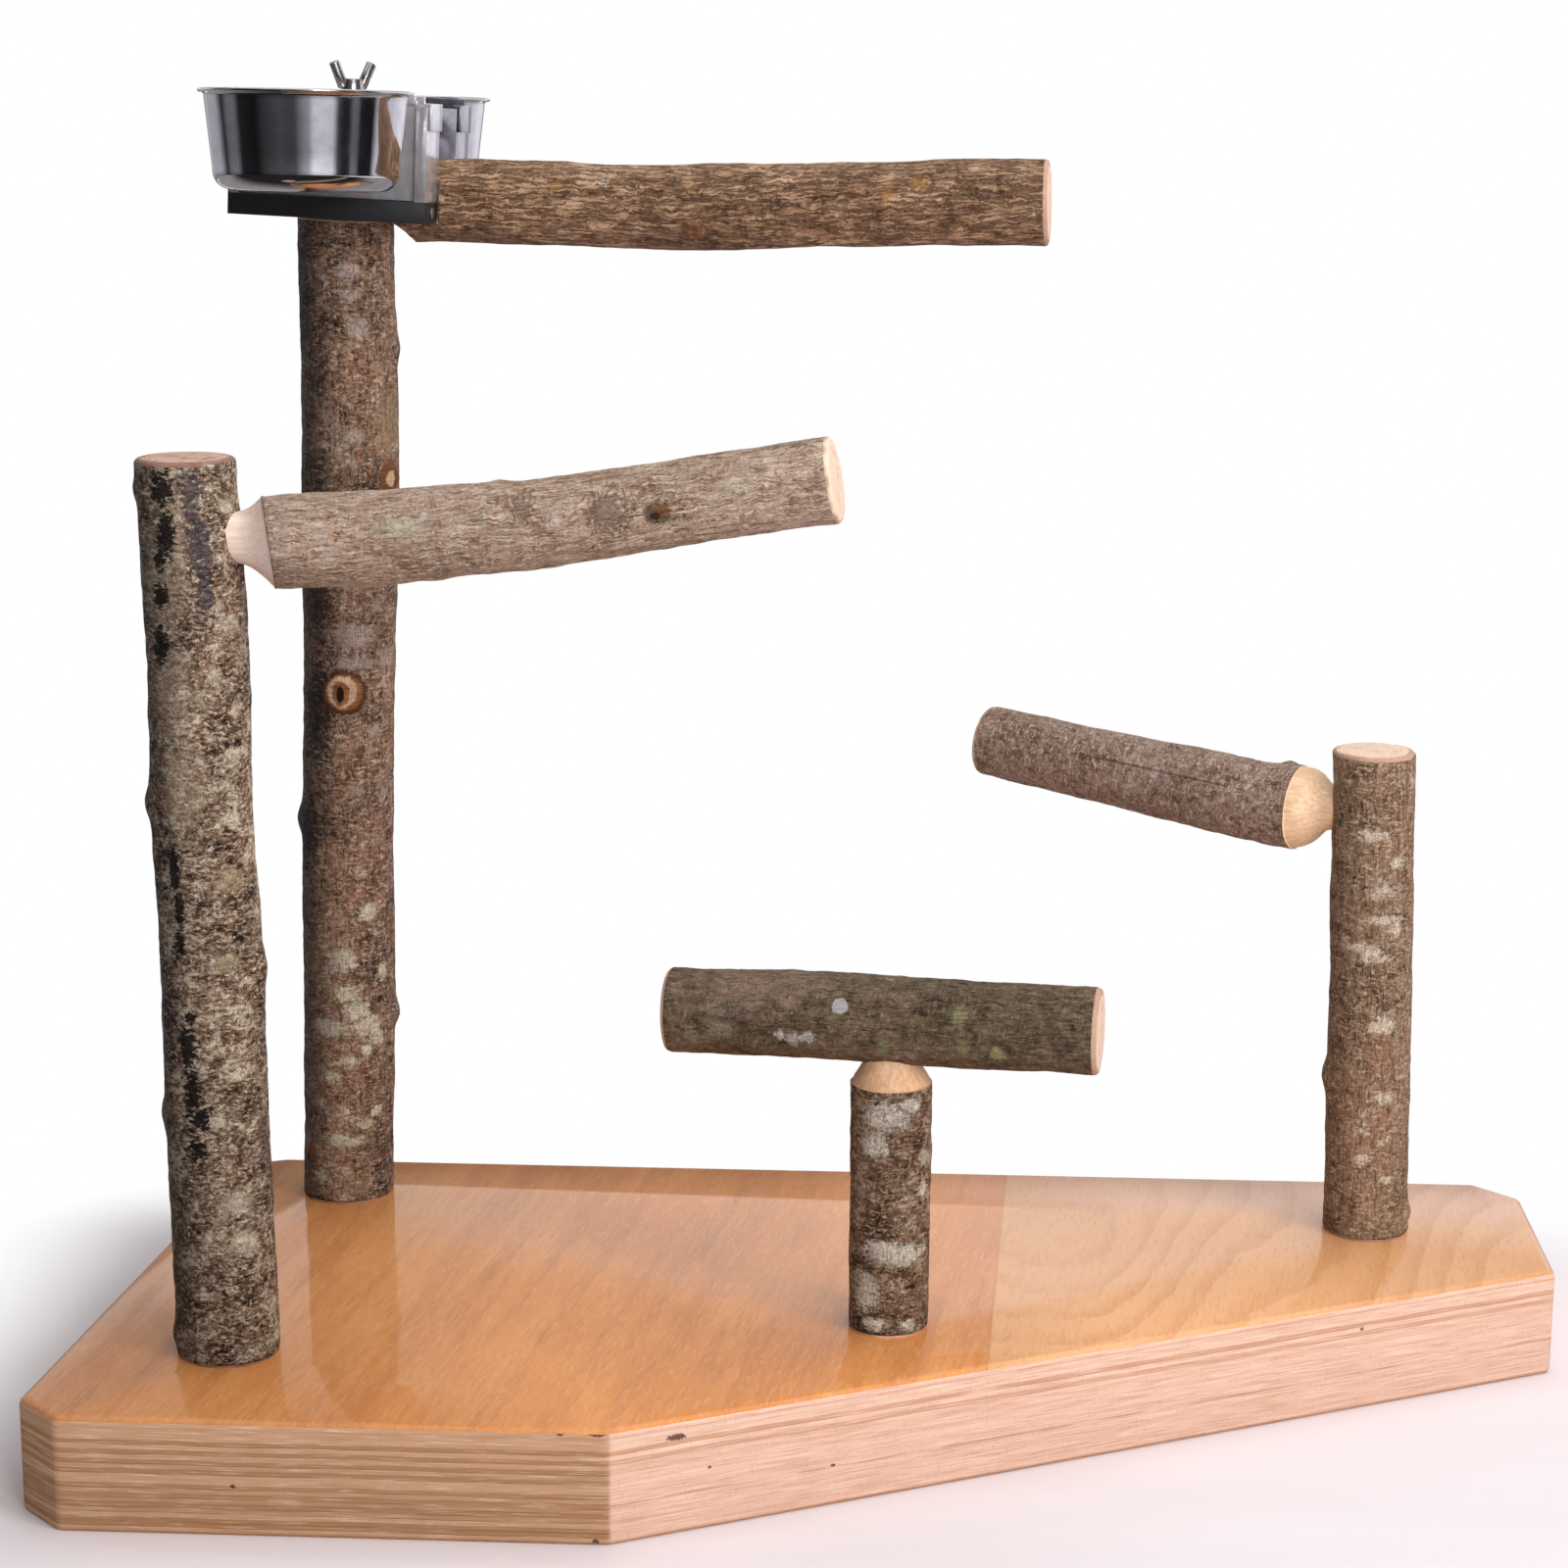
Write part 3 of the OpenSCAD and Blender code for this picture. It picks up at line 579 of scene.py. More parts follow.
# %% Local marks
def mark_mask(tree, place, ragged, marks, radius, start):
    """The joint mask of marks given as (along, angle in degrees, half width, half height) in mm."""
    mask = 0.0
    for along, angle, half_width, half_height in marks:
        turn = math.radians(angle)
        centre = (radius * math.cos(turn) * MM, radius * math.sin(turn) * MM, (along - start) * MM)
        reach = (half_width * MM, half_width * MM, half_height * MM)
        given = {"Place": place, "Ragged": ragged, "Centre": centre, "Reach": reach}
        mask = larger(tree, use_group(tree, mark_recipe, given)["Mask"], mask)
    return mask


print("marks are laid with", mark_recipe.name)

# %% [markdown]
# A bark material starts from the bark recipe and adds lichen, then the marks and knots. Last the
# bark is darkened in three ways: painted shade on one side, darker towards its foot, and a thin dark
# line where the bark ends at a cut. A cut that slants needs the place measured from the slanting plane.


# %% Bark material
TONES = ("Dark", "Middle", "Light", "Crust", "Tint")
SQUARE_CUT = (0.0, 0.0)
SIDE_SHADE_RANGE, FOOT_FADE, CUT_LINE = (-0.95, 0.25), (0.02, 0.22), (0.0002, 0.0007)
BARK_DEPTH = 0.0011


def with_painted_shade_and_dark_ends(tree, colour, place, radius, painted_shade_side, dark_foot, slope):
    """Bark darkened with painted shade on one side, towards its foot and in a thin line at its cut."""
    parts = parts_of(tree, place)
    side_low, side_high = (share * radius * MM for share in SIDE_SHADE_RANGE)
    # Painted shade: the side where the first across value is negative, a post's left, is darkened
    shade = remap(tree, parts[0], side_low, side_high, painted_shade_side, 1.0)
    shade = times(tree, shade, remap(tree, parts[2], *FOOT_FADE, dark_foot, 1.0))
    from_cut = times_plus(tree, parts[0], slope[0], parts[2])
    from_cut = times_plus(tree, parts[1], slope[1], from_cut)
    shade = times(tree, shade, remap(tree, from_cut, *CUT_LINE, 0.4, 1.0))
    return darken(tree, colour, shade)


def bark_material(name, radius, seed, tones, recipe, lichen, marks, knots=(), painted_shade_side=1.0, dark_foot=1.0,
                  slope=SQUARE_CUT, start=0.0):
    """Bark of one branch, with five tones in the order of TONES.

    Lichen is (colour, size, cover, strength), and a mark or knot is (colour, strength, places).
    The side and foot numbers are the share of its brightness that bark keeps in its painted side
    shade and at its foot.
    The branch starts at start, for marks that are given by their height above the floor.
    """
    material, tree, shader = new_material(name, Specular_IOR_Level=0.18)
    place = branch_place(tree)
    seed_place = (seed * 0.37, seed * 0.11, seed * 0.23)
    tones = dict(zip(TONES, tones.split()))
    bark = use_group(tree, bark_recipe, {"Place": place, "Seed": seed_place, **tones, **recipe})
    colour, height = bark["Color"], bark["Height"]
    detail = grey(tree, bark["Detail"])
    uneven = cloud(tree, stretched(tree, vectors(tree, "ADD", place, seed_place), 1.0, 1.8), 260.0, 7.0, 0.78)
    ragged = times_plus(tree, uneven, 0.5, times(tree, bark["Crumbs"], 0.5))
    growths = []
    for index, (code, size, cover, strength) in enumerate(lichen):
        spot_seed = (seed * 0.17 + index, 0.4 * index, 0.1)
        given = {"Place": place, "Seed": spot_seed, "Size": size, "Cover": cover}
        growths.append((code, strength, use_group(tree, lichen_recipe, given)["Mask"]))
    for code, strength, places in marks:
        growths.append((code, strength, mark_mask(tree, place, ragged, places, radius, start)))
    for code, strength, mask in growths:
        mask = times(tree, mask, strength)
        colour = mix(tree, mask, colour, mix(tree, 1.0, code, detail, "MULTIPLY"))
        height = times_plus(tree, mask, 0.2, height)
    even = times_plus(tree, minus(tree, ragged, 0.5), 0.16, 0.5)
    for code, strength, places in knots:
        mask = times(tree, mark_mask(tree, place, even, places, radius, start), strength)
        colour = mix(tree, mask, colour, mix(tree, 0.5, code, detail, "MULTIPLY"))
    colour = with_painted_shade_and_dark_ends(tree, colour, place, radius, painted_shade_side, dark_foot, slope)
    surface(tree, shader, colour, remap(tree, bark["Tone"], 0.40, 0.60, 0.62, 0.46), height, BARK_DEPTH)
    return material


print("bark is", BARK_DEPTH / MM, "mm rough")

# %% [markdown]
# Sawn ends are dull end grain with rings. A neck is peeled, turned and sanded, so it shows fine
# lengthwise grain and a faint blush of darker sapwood. Neither is varnished.


# %% Sawn and peeled wood
GRAIN_SIZE, BLUSH_SIZE = 700.0, 70.0


def sawn_material(name, pale, late, radius, stain=0.5):
    """Sawn end of a branch, with its growth rings; radius in mm."""
    material, tree, shader = new_material(name, Specular_IOR_Level=0.3)
    given = {"Place": branch_place(tree), "Pale": pale, "Late": late, "Radius": radius * MM,
             "Stain": stain}
    rings = use_group(tree, ring_recipe, given)
    surface(tree, shader, rings["Color"], remap(tree, rings["Height"], 0.2, 0.8, 0.75, 0.6),
            rings["Height"], 0.00025)
    return material


def peeled_material(name, pale, deep):
    """Peeled and sanded wood of a turned neck, with fine lengthwise grain."""
    material, tree, shader = new_material(name, Specular_IOR_Level=0.4)
    place = stretched(tree, branch_place(tree), 1.0, 0.15)
    grain = cloud(tree, place, GRAIN_SIZE, 4.0, 0.6)
    blush = cloud(tree, place, BLUSH_SIZE, 2.0)
    colour = mix(tree, remap(tree, grain, 0.35, 0.65), deep, pale)
    colour = mix(tree, remap(tree, blush, 0.45, 0.75, 0.0, 0.5), colour, deep)
    surface(tree, shader, colour, remap(tree, grain, 0.3, 0.7, 0.45, 0.6), grain, 0.00012)
    return material


sawn_pale = sawn_material("sawn_pale", "e9cdb8", "cb9f82", 19.5)
sawn_rose = sawn_material("sawn_rose", "d8b5a3", "8d6654", 20.6, 0.8)
peeled_cream = peeled_material("peeled_cream", "f7e3d6", "ebcfbd")
peeled_peach = peeled_material("peeled_peach", "efcfae", "e0b58c")
peeled_tan = peeled_material("peeled_tan", "dcb390", "c99b73")
print("wood finishes:", len(bpy.data.materials))

# %% [markdown]
# ## How a branch is built
# A branch is a tube that bends and swells a little. By hand it could be sculpted, or drawn as a curve
# with a round bevel. Here its middle line is worked out first: a smooth curve through a few points,
# with a radius at each. The same line later tells where on the branch a vertex lies, as if the branch
# were straight, and the bark's pattern follows that.

# %% Middle line
LINE_STEP = 2 * MM


def along(stations, values, where):
    """Values at some places of a line, on a smooth curve through the values at its stations."""
    slopes = np.gradient(values, stations, axis=0)
    cell = np.clip(np.searchsorted(stations, where, side="right") - 1, 0, len(stations) - 2)
    gap = stations[cell + 1] - stations[cell]
    t = (where - stations[cell]) / gap
    if values.ndim > 1:
        t = t[:, None]
        gap = gap[:, None]
    first, second = values[cell], values[cell + 1]
    lean_first, lean_second = slopes[cell] * gap, slopes[cell + 1] * gap
    return (
        first * (1 + 2 * t) * (1 - t) ** 2 + lean_first * t * (1 - t) ** 2
        + second * t * t * (3 - 2 * t) - lean_second * t * t * (1 - t)
    )


class MiddleLine:
    """The smooth middle line of a branch: its places, directions and radii, in metres."""

    def __init__(self, points, radii, reference):
        points = np.array(points, float) * MM
        steps = np.linalg.norm(np.diff(points, axis=0), axis=1)
        stations = np.concatenate([[0.0], np.cumsum(steps)])
        self.length = stations[-1]
        self.places = np.linspace(0, self.length, int(self.length / LINE_STEP) + 2)
        self.centres = along(stations, points, self.places)
        self.radii = along(stations, np.array(radii, float) * MM, self.places)
        slopes = np.gradient(self.centres, self.places, axis=0)
        self.directions = slopes / np.linalg.norm(slopes, axis=1)[:, None]
        self.reference = np.array(reference, float)

    def at(self, place):
        """Centre, direction and radius at a distance along the line; it runs on straight past its ends."""
        held = np.clip(place, 0, self.length)
        centre = np.stack([np.interp(held, self.places, self.centres[:, i]) for i in range(3)], axis=-1)
        direction = np.stack([np.interp(held, self.places, self.directions[:, i]) for i in range(3)], axis=-1)
        radius = np.interp(held, self.places, self.radii)
        return centre + direction * np.asarray(place - held)[..., None], direction, radius

    def sides(self, direction):
        """The direction that angles start from, and the one a quarter turn further."""
        start = self.reference - (direction @ self.reference)[..., None] * direction
        start = start / np.linalg.norm(start, axis=-1)[..., None]
        return start, np.cross(direction, start)

    def straighten(self, points):
        """Distance along, angle round and distance out of some points."""
        chord = self.centres[-1] - self.centres[0]
        chord = chord / np.linalg.norm(chord)
        place = np.interp((points - self.centres[0]) @ chord,
                          (self.centres - self.centres[0]) @ chord, self.places)
        for _ in range(4):
            centre, direction, _ = self.at(place)
            place = place + np.einsum("ij,ij->i", points - centre, direction)
        centre, direction, radius = self.at(place)
        start, quarter = self.sides(direction)
        outwards = points - centre
        across = np.einsum("ij,ij->i", outwards, start)
        over = np.einsum("ij,ij->i", outwards, quarter)
        return place, np.arctan2(over, across), np.hypot(across, over), radius, outwards


print("middle lines have a point every", round(LINE_STEP / MM), "mm")

# %% [markdown]
# Circles are added one after the other along the middle line, each at its own place, turn and radius.
# The Bridge Edge Loops operator closes the gaps with rings of faces, like planks over a boat's ribs.
# That gives even faces for noise to move later.

# %% Rings bridged into a tube
SIDES = 160
RIB_GAP = 13 * MM
RING_GAP = 2 * MM


def add_ring(centre, direction, radius, line):
    """A circle square to a direction."""
    direction = np.array(direction) / np.linalg.norm(direction)
    start, quarter = line.sides(direction)
    turn = Matrix((start, quarter, direction)).transposed()
    bpy.ops.mesh.primitive_circle_add(
        vertices=SIDES, radius=radius, location=Vector(centre), rotation=turn.to_euler()
    )


def tube(name, line, near, far):
    """A branch's wall: circles along its middle line, bridged. It is left open and in edit mode.

    The first and last circle are square to the directions near and far.
    """
    count = max(int(round(line.length / RIB_GAP)), 2)
    places = np.linspace(0, line.length, count + 1)
    centres, directions, radii = line.at(places)
    directions[0], directions[-1] = near, far
    deselect()
    add_ring(centres[0], directions[0], radii[0], line)
    obj = bpy.context.object
    bpy.ops.object.mode_set(mode="EDIT")
    for centre, direction, radius in zip(centres[1:], directions[1:], radii[1:]):
        add_ring(centre, direction, radius, line)
    bpy.ops.mesh.select_all(action="SELECT")
    cuts = int(round(line.length / count / RING_GAP)) - 1
    bpy.ops.mesh.bridge_edge_loops(number_cuts=cuts, interpolation="LINEAR")
    bpy.ops.object.mode_set(mode="OBJECT")
    obj = named(f"{name}_piece")
    bpy.ops.object.mode_set(mode="EDIT")
    return obj


print("a branch has", SIDES, "sides")

# %% [markdown]
# The ends of a branch are made from its last ring: it is extruded and made smaller, again and again,
# and what is left in the middle is merged. A sawn end goes over a small rounding to a flat face, as
# its rim is sanded for the birds' feet.

# %% Closed ends
NEAR_END = 60 * MM
ROUNDING_TURNS = (30, 60, 90)
FACE_SHARES = (0.86, 0.7, 0.5, 0.3, 0.1)


def close_end(obj, centre, direction, steps):
    """Closes an open end. Each step extrudes the last ring: (distance outwards, new radius, new centre)."""
    centre, direction = Vector(centre), Vector(direction).normalized()
    select_edges(obj, lambda edge: edge.is_boundary and (edge_middle(edge) - centre).length < NEAR_END)
    ring = [vertex for vertex in bmesh.from_edit_mesh(obj.data).verts if vertex.select]
    middle = sum((vertex.co for vertex in ring), Vector()) / len(ring)
    radius = sum((vertex.co - middle).length for vertex in ring) / len(ring)
    for outwards, new_radius, target in steps:
        goal = Vector(target) if target is not None else middle + direction * outwards
        bpy.ops.mesh.extrude_edges_move(TRANSFORM_OT_translate={"value": goal - middle})
        bpy.ops.transform.resize(value=(new_radius / radius,) * 3, center_override=goal)
        middle, radius = goal, new_radius
    bpy.ops.mesh.merge(type="CENTER")


def sawn_steps(radius, round_over):
    """Steps of a flat sawn end with a slightly rounded edge, closed in the middle."""
    steps = []
    risen = 0.0
    for turn in ROUNDING_TURNS:
        angle = math.radians(turn)
        height = round_over * math.sin(angle)
        steps.append((height - risen, radius - round_over * (1 - math.cos(angle)), None))
        risen = height
    return steps + [(0.0, (radius - round_over) * share, None) for share in FACE_SHARES]


print("a sawn end takes", len(ROUNDING_TURNS) + len(FACE_SHARES), "extrusions")

# %% [markdown]
# Moving the wall's vertices in and out by noise gives the bark its unevenness, coarse and fine. A
# knot is added to that: a bump is a soft swelling, and a stub is where a side branch was cut off,
# with a collar of bark round its heart. By hand they could be sculpted.


# %% Bark relief and knots
def knot_rise(distance, kind):
    """Height of a knot at a distance from its middle, counted in knot radii, for a rise of 1."""
    if kind == "stub":
        collar = np.exp(-((distance - 0.62) / 0.26) ** 2)
        heart = 0.55 * np.exp(-(distance / 0.36) ** 4)
        return collar + heart
    return np.exp(-(distance / 0.75) ** 2)


def store_places(obj, straight):
    """Stores each vertex's place on the straightened branch, for the bark's pattern to follow."""
    if "straight_place" in obj.data.attributes:
        obj.data.attributes.remove(obj.data.attributes["straight_place"])
    attribute = obj.data.attributes.new("straight_place", "FLOAT_VECTOR", "POINT")
    attribute.data.foreach_set("vector", straight.ravel())
    obj.data.update()


def straight_places(line, points):
    """Points moved as if the branch were straightened: across, across and along."""
    place, angle, out_by, _, _ = line.straighten(points)
    return np.stack([out_by * np.cos(angle), out_by * np.sin(angle), place], axis=1)


def vertex_places(obj):
    """All vertices of a mesh as an array."""
    points = np.empty(len(obj.data.vertices) * 3)
    obj.data.vertices.foreach_get("co", points)
    return points.reshape(-1, 3)


def roughen(obj, line, relief, knots, seed):
    """Moves the wall's vertices in and out, and stores each one's place on the straightened branch."""
    points = vertex_places(obj)
    count = len(points)
    place, angle, out_by, radius, outwards = line.straighten(points)
    straight = straight_places(line, points)
    shift = np.zeros(count)
    for size, depth, stretch in relief:
        scale = 1 / (size * MM)
        for index in range(count):
            x, y, z = straight[index]
            shift[index] += depth * MM * noise.noise((x * scale + seed, y * scale, z * scale / stretch))
    for station, turn, knot_radius, rise, kind in knots:
        turned = (angle - math.radians(turn) + math.pi) % (2 * math.pi) - math.pi
        distance = np.hypot(turned * radius, place - station * MM) / (knot_radius * MM)
        shift += rise * MM * knot_rise(distance, kind)
    wall = np.clip(out_by / radius, 0, 1.05) ** 8
    unit = outwards / np.maximum(np.linalg.norm(outwards, axis=1), 1e-9)[:, None]
    points = points + unit * (shift * wall)[:, None]
    obj.data.vertices.foreach_set("co", points.ravel())
    store_places(obj, straight)


# Each relief layer is (size, depth, how much it is drawn out along the branch), in mm
BARK_RELIEF = [(45, 0.9, 1.6), (16, 0.5, 1.4), (5, 0.35, 1.6), (2.2, 0.22, 1.5)]
print("bark relief up to", sum(depth for _, depth, _ in BARK_RELIEF), "mm")

# %% [markdown]
# One mesh carries three materials, and each face names its own. Whether a face is bark, sawn wood or
# peeled neck follows from its place on the straightened branch: before its start, past its end or
# between them. A cut that slants is measured from its own plane.

# %% Materials by face
ON_CUT = 0.02 * MM
BARK, SAWN, PEELED = 0, 1, 2


def cut_slope(line, direction):
    """How far a slanting cut at a line's start leans, for each metre along its two cross directions."""
    _, square, _ = line.at(0.0)
    start, quarter = line.sides(square)
    return tuple(np.dot(direction, side) / np.dot(direction, square) for side in (start, quarter))


def give_materials(obj, line, finishes, neck_end=None, slope=SQUARE_CUT):
    """Bark on the wall, sawn wood on the ends and peeled wood on a neck at one end of the line."""
    for material in finishes:
        obj.data.materials.append(material)
    straight = np.empty(len(obj.data.vertices) * 3)
    obj.data.attributes["straight_place"].data.foreach_get("vector", straight)
    straight = straight.reshape(-1, 3)
    slots = []
    for face in obj.data.polygons:
        x, y, place = straight[list(face.vertices)].mean(axis=0)
        _, _, radius = line.at(place)
        inside = math.hypot(x, y) < radius * 0.995
        before = -(place + slope[0] * x + slope[1] * y)
        past = place - line.length
        if before > ON_CUT or inside and before > -ON_CUT:
            slots.append(PEELED if neck_end == "start" else SAWN)
        elif past > ON_CUT or inside and past > -ON_CUT:
            slots.append(PEELED if neck_end == "end" else SAWN)
        else:
            slots.append(BARK)
    obj.data.polygons.foreach_set("material_index", slots)


print("a branch has a bark, a sawn and a peeled finish")

# %% [markdown]
# All eight branches are made in the same order: the wall, its closed ends, the relief, the materials.


# %% A whole branch
def branch(name, line, ends, finishes, knots, seed, near_turn=None, far_turn=None, relief=BARK_RELIEF,
           neck_end=None, slope=SQUARE_CUT):
    """A branch along a line, with a list of steps for each end.

    The turns are the directions its end rings are square to, if that isn't the line's own.
    """
    _, (near, far), _ = line.at(np.array([0.0, line.length]))
    near = near if near_turn is None else near_turn
    far = far if far_turn is None else far_turn
    obj = tube(name, line, near, far)
    close_end(obj, line.centres[0], -Vector(near), ends[0])
    close_end(obj, line.centres[-1], far, ends[1])
    bpy.ops.mesh.select_all(action="SELECT")
    bpy.ops.mesh.normals_make_consistent(inside=False)
    smooth(obj, 50)
    roughen(obj, line, relief, knots, seed)
    give_materials(obj, line, finishes, neck_end, slope)
    return obj


print("bark relief has", len(BARK_RELIEF), "layers")

# %% [markdown]
# ## Where things stand
# The posts' feet, the perches' sockets and the bowl holder's frame are repeated here from the CAD
# model, as the driving dimensions of everything that follows. A socket is where a perch's axis meets
# its post's, with the perch's turn in degrees. The holder leans with the tall post's top.

# %% Places shared with the CAD model
BOARD_THICK = 50.0
TALL_FOOT, LEFT_FOOT, RIGHT_FOOT, SHORT_FOOT = (-238.8, 117), (-254, -87.2), (249.8, 95.2), (26.7, -40.3)
TALL_TOP = 517.5
UP = (0.0, 0.0, 1.0)
EAST = (1.0, 0.0, 0.0)
ROD_FOOT = (-228.0, 117.2, TALL_TOP)
HOLDER_YAW, HOLDER_LEAN, HOLDER_TILT = -5.0, 2.4, 1.8
LEFT_SOCKET, LEFT_YAW = (-258.2, -87.2, 400.0), -5.6
RIGHT_SOCKET, RIGHT_YAW = (244.4, 95.1, 252.0), 151.9
TEE_SOCKET, TEE_YAW = (26.7, -40.3, 188.5), -8.8
NECK_R = 10.8

holder = (
    Matrix.Translation(point(*ROD_FOOT))
    @ Matrix.Rotation(math.radians(HOLDER_YAW), 4, "Z")
    @ Matrix.Rotation(math.radians(HOLDER_LEAN), 4, "Y")
    @ Matrix.Rotation(math.radians(-HOLDER_TILT), 4, "X")
)
holder_up = np.array(holder.to_3x3() @ Vector(UP))


def perch_points(socket, yaw, line):
    """A perch's middle line in the shared frame, from (distance along, height above socket)."""
    turn = math.radians(yaw)
    return [(socket[0] + x * math.cos(turn), socket[1] + x * math.sin(turn), socket[2] + rise)
            for x, rise in line]


print("holder's direction:", np.round(holder_up, 5))

# %% [markdown]
# ## The posts
# Three posts are sawn flat at both ends, with a slightly rounded rim on top. The short post ends in
# a peeled neck that goes up into the tee perch. Angles are counted from the board's long direction
# towards the back, so -90 degrees faces the front. A foot goes in a little to its flat end.

# %% Posts
FOOT_EASE, FOOT_CHAMFER = 1.2, 0.9
FOOT_Z = BOARD_THICK + FOOT_EASE


def foot_steps(radius):
    """Steps of a post's lower end: a small chamfer, then flat to the middle."""
    inner = radius - FOOT_CHAMFER * MM
    return [(FOOT_EASE * MM, inner, None)] + [(0.0, inner * share, None) for share in (0.8, 0.6, 0.4, 0.2)]


def post(name, points, radii, knots, seed, bark, tip_direction=UP, round_over=1.6, sawn=sawn_pale):
    """A post that is sawn flat at both ends. Its knots are given by their height above the floor."""
    ends = foot_steps(radii[0] * MM), sawn_steps(radii[-1] * MM, round_over * MM)
    from_foot = [(height - FOOT_Z, *knot) for height, *knot in knots]
    obj = branch(name, MiddleLine(points, radii, EAST), ends, (bark, sawn, peeled_cream), from_foot, seed,
                 UP, tip_direction)
    hand_over(obj, "stand", "bark", name)


print("posts start", FOOT_Z, "mm above the floor")

# %% [markdown]
# The tall post carries the bowls. Its bark is dark, with fine level lines, and painted shade darkens
# its left side further. It has pink blotches above, cream ones below, a cut-off side branch with a pale
# heart at half height, and a smaller one near its top. A mark's list gives height, angle and half sizes.

# %% Tall post
TALL_PINK = [(495, -77, 5, 4), (484, -75, 4, 3), (469, -67, 5, 4), (420, -76, 5, 3), (408, -79, 3, 2),
             (327, -69, 9, 6), (314, -73, 8, 3), (316, -25, 7, 4), (341, -46, 3, 3), (282, -45, 3, 3),
             (255, -71, 3, 3), (250, -30, 3, 3)]
TALL_CREAM = [(195, -54, 5, 4), (172, -85, 6, 5), (165, -33, 3, 4), (155, -82, 6, 4), (147, -68, 6, 5),
              (139, -56, 7, 5), (132, -42, 5, 4), (138, -107, 9, 4), (127, -56, 3, 3), (122, -78, 4, 3),
              (114, -103, 4, 2.5), (96, -42, 3, 3), (90, -57, 5, 2.5), (82, -88, 10, 3), (63, -120, 4, 3)]
TALL_DARK = [(340, -125, 8, 12), (290, -125, 8, 20), (235, -140, 7, 14), (365, -130, 6, 10)]
TALL_TAN = [(426, -28, 9, 13), (60, -61, 1.5, 9)]
# Rings of the cut-off side branches, from the outside in
TALL_KNOTS = [("4e2f1c", 0.9, [(301, -86, 11, 10.6)]), ("9c6239", 0.85, [(301, -87, 8.6, 8.2)]),
              ("dcb799", 0.95, [(301.5, -88, 6.2, 7.2)]), ("8f5c38", 0.95, [(300.5, -89, 3.8, 5.6)]),
              ("24150e", 1.0, [(300, -90, 1.7, 3.8)]), ("7a4c30", 0.9, [(400, -27, 6.5, 8)]),
              ("dcb794", 0.95, [(400, -29, 3, 3.6)]), ("a8642f", 0.9, [(75, -133, 3, 3)])]

tall_bark = bark_material(
    "bark_tall", 21.5, 1,
    "26160d 825b43 b08d75 d6bfac 6d4d38",
    {"Grain Size": 260.0, "Soft": 0.042, "Level Stretch": 2.0, "Crust Cover": 0.38, "Specks": 0.4,
     "Worms": 0.2, "Crack Stretch": 0.04, "Ring Cracks": 0.6, "Fibres And Sheen": 0.2},
    [("c4af9a", 110.0, 0.42, 0.7)],
    [("1a120e", 0.7, TALL_DARK), ("b9a599", 0.85, TALL_PINK),
     ("d8cbb2", 0.95, TALL_CREAM), ("a98c68", 0.75, TALL_TAN)],
    # painted shade: the left side keeps 0.32 of its brightness
    TALL_KNOTS, painted_shade_side=0.32, start=FOOT_Z,
)
post(
    "tall_post",
    [(*TALL_FOOT, FOOT_Z), (-236, 117, 180), (-233.3, 117, 296), (-230.2, 117.2, 402),
     (-230, 117.2, TALL_TOP - 1.6)],
    [21.4, 21.6, 21.4, 22.2, 21.8],
    [(458, 0, 8, 1.5, "bump"), (400, -24, 6.5, 2.2, "stub"), (300, -88, 10.5, 2.4, "stub"),
     (236, 180, 9, 2.4, "bump"), (141, 5, 8, 2.4, "bump"), (72, -130, 7, 1.2, "stub")],
    3.7, tall_bark, tip_direction=holder_up, round_over=1.0,
)

# %% [markdown]
# The left post has the liveliest bark: greenish cream crust between black streaks, and a violet-grey
# stripe of painted sheen under the bark's upper edge. Its sawn top looks older than the other cuts, so
# it gets a grey-pink, stained finish of its own.

# %% Left post
LEFT_CREAM = [(413, -28, 4, 3), (367, -35, 4, 3), (346, -59, 3, 3), (313, -36, 4, 3), (219, 12, 5, 4),
              (159, -76, 4, 3), (122, -58, 6, 5), (104, -52, 6, 6)]
LEFT_TAN = [(260, -51, 7, 4), (226, -64, 6, 4)]
LEFT_BLACK = [(422, -107, 5, 7), (404, -106, 4, 9), (394, -116, 3, 4), (379, -120, 3.5, 4),
              (358, -123, 3.5, 7), (266, -116, 2.6, 10), (248, -112, 2.2, 9), (235, -114, 2.6, 5),
              (203, -105, 2.2, 3), (190, -108, 4, 9), (170, -104, 3.8, 10), (160, -94, 6, 4.5),
              (146, -100, 3.6, 5)]
# Painted sheen: soft violet-grey stripes of reflected light on its front, near the top
LEFT_VIOLET_SHEEN = [(420, -72, 4.2, 14), (398, -68, 4.6, 15), (380, -64, 3.4, 9)]
LEFT_CRUST = [(405, -100, 8, 26), (385, -118, 9, 22), (340, -110, 9, 18), (300, -100, 10, 14)]

left_bark = bark_material(
    "bark_left", 21.2, 2,
    "1e120a 7d5c47 bf9f84 f2dfc6 6b4f3c",
    {"Grain Size": 330.0, "Level Stretch": 1.8, "Crust Cover": 0.50, "Worms": 0.65, "Pores": 0.4,
     "Cracks": 0.45, "Crack Stretch": 0.35},
    [("dcc2a6", 130.0, 0.43, 0.6), ("1c1310", 120.0, 0.43, 0.85)],
    [("d8bfa2", 0.35, LEFT_CRUST), ("120e0f", 0.95, LEFT_BLACK),
     # painted sheen in violet-grey
     ("554a55", 0.75, LEFT_VIOLET_SHEEN), ("ccb391", 0.85, LEFT_TAN),
     ("e8d6bd", 0.95, LEFT_CREAM)],
    # painted shade: the left side keeps half its brightness; the foot is darker too
    painted_shade_side=0.5, dark_foot=0.78, start=FOOT_Z,
)
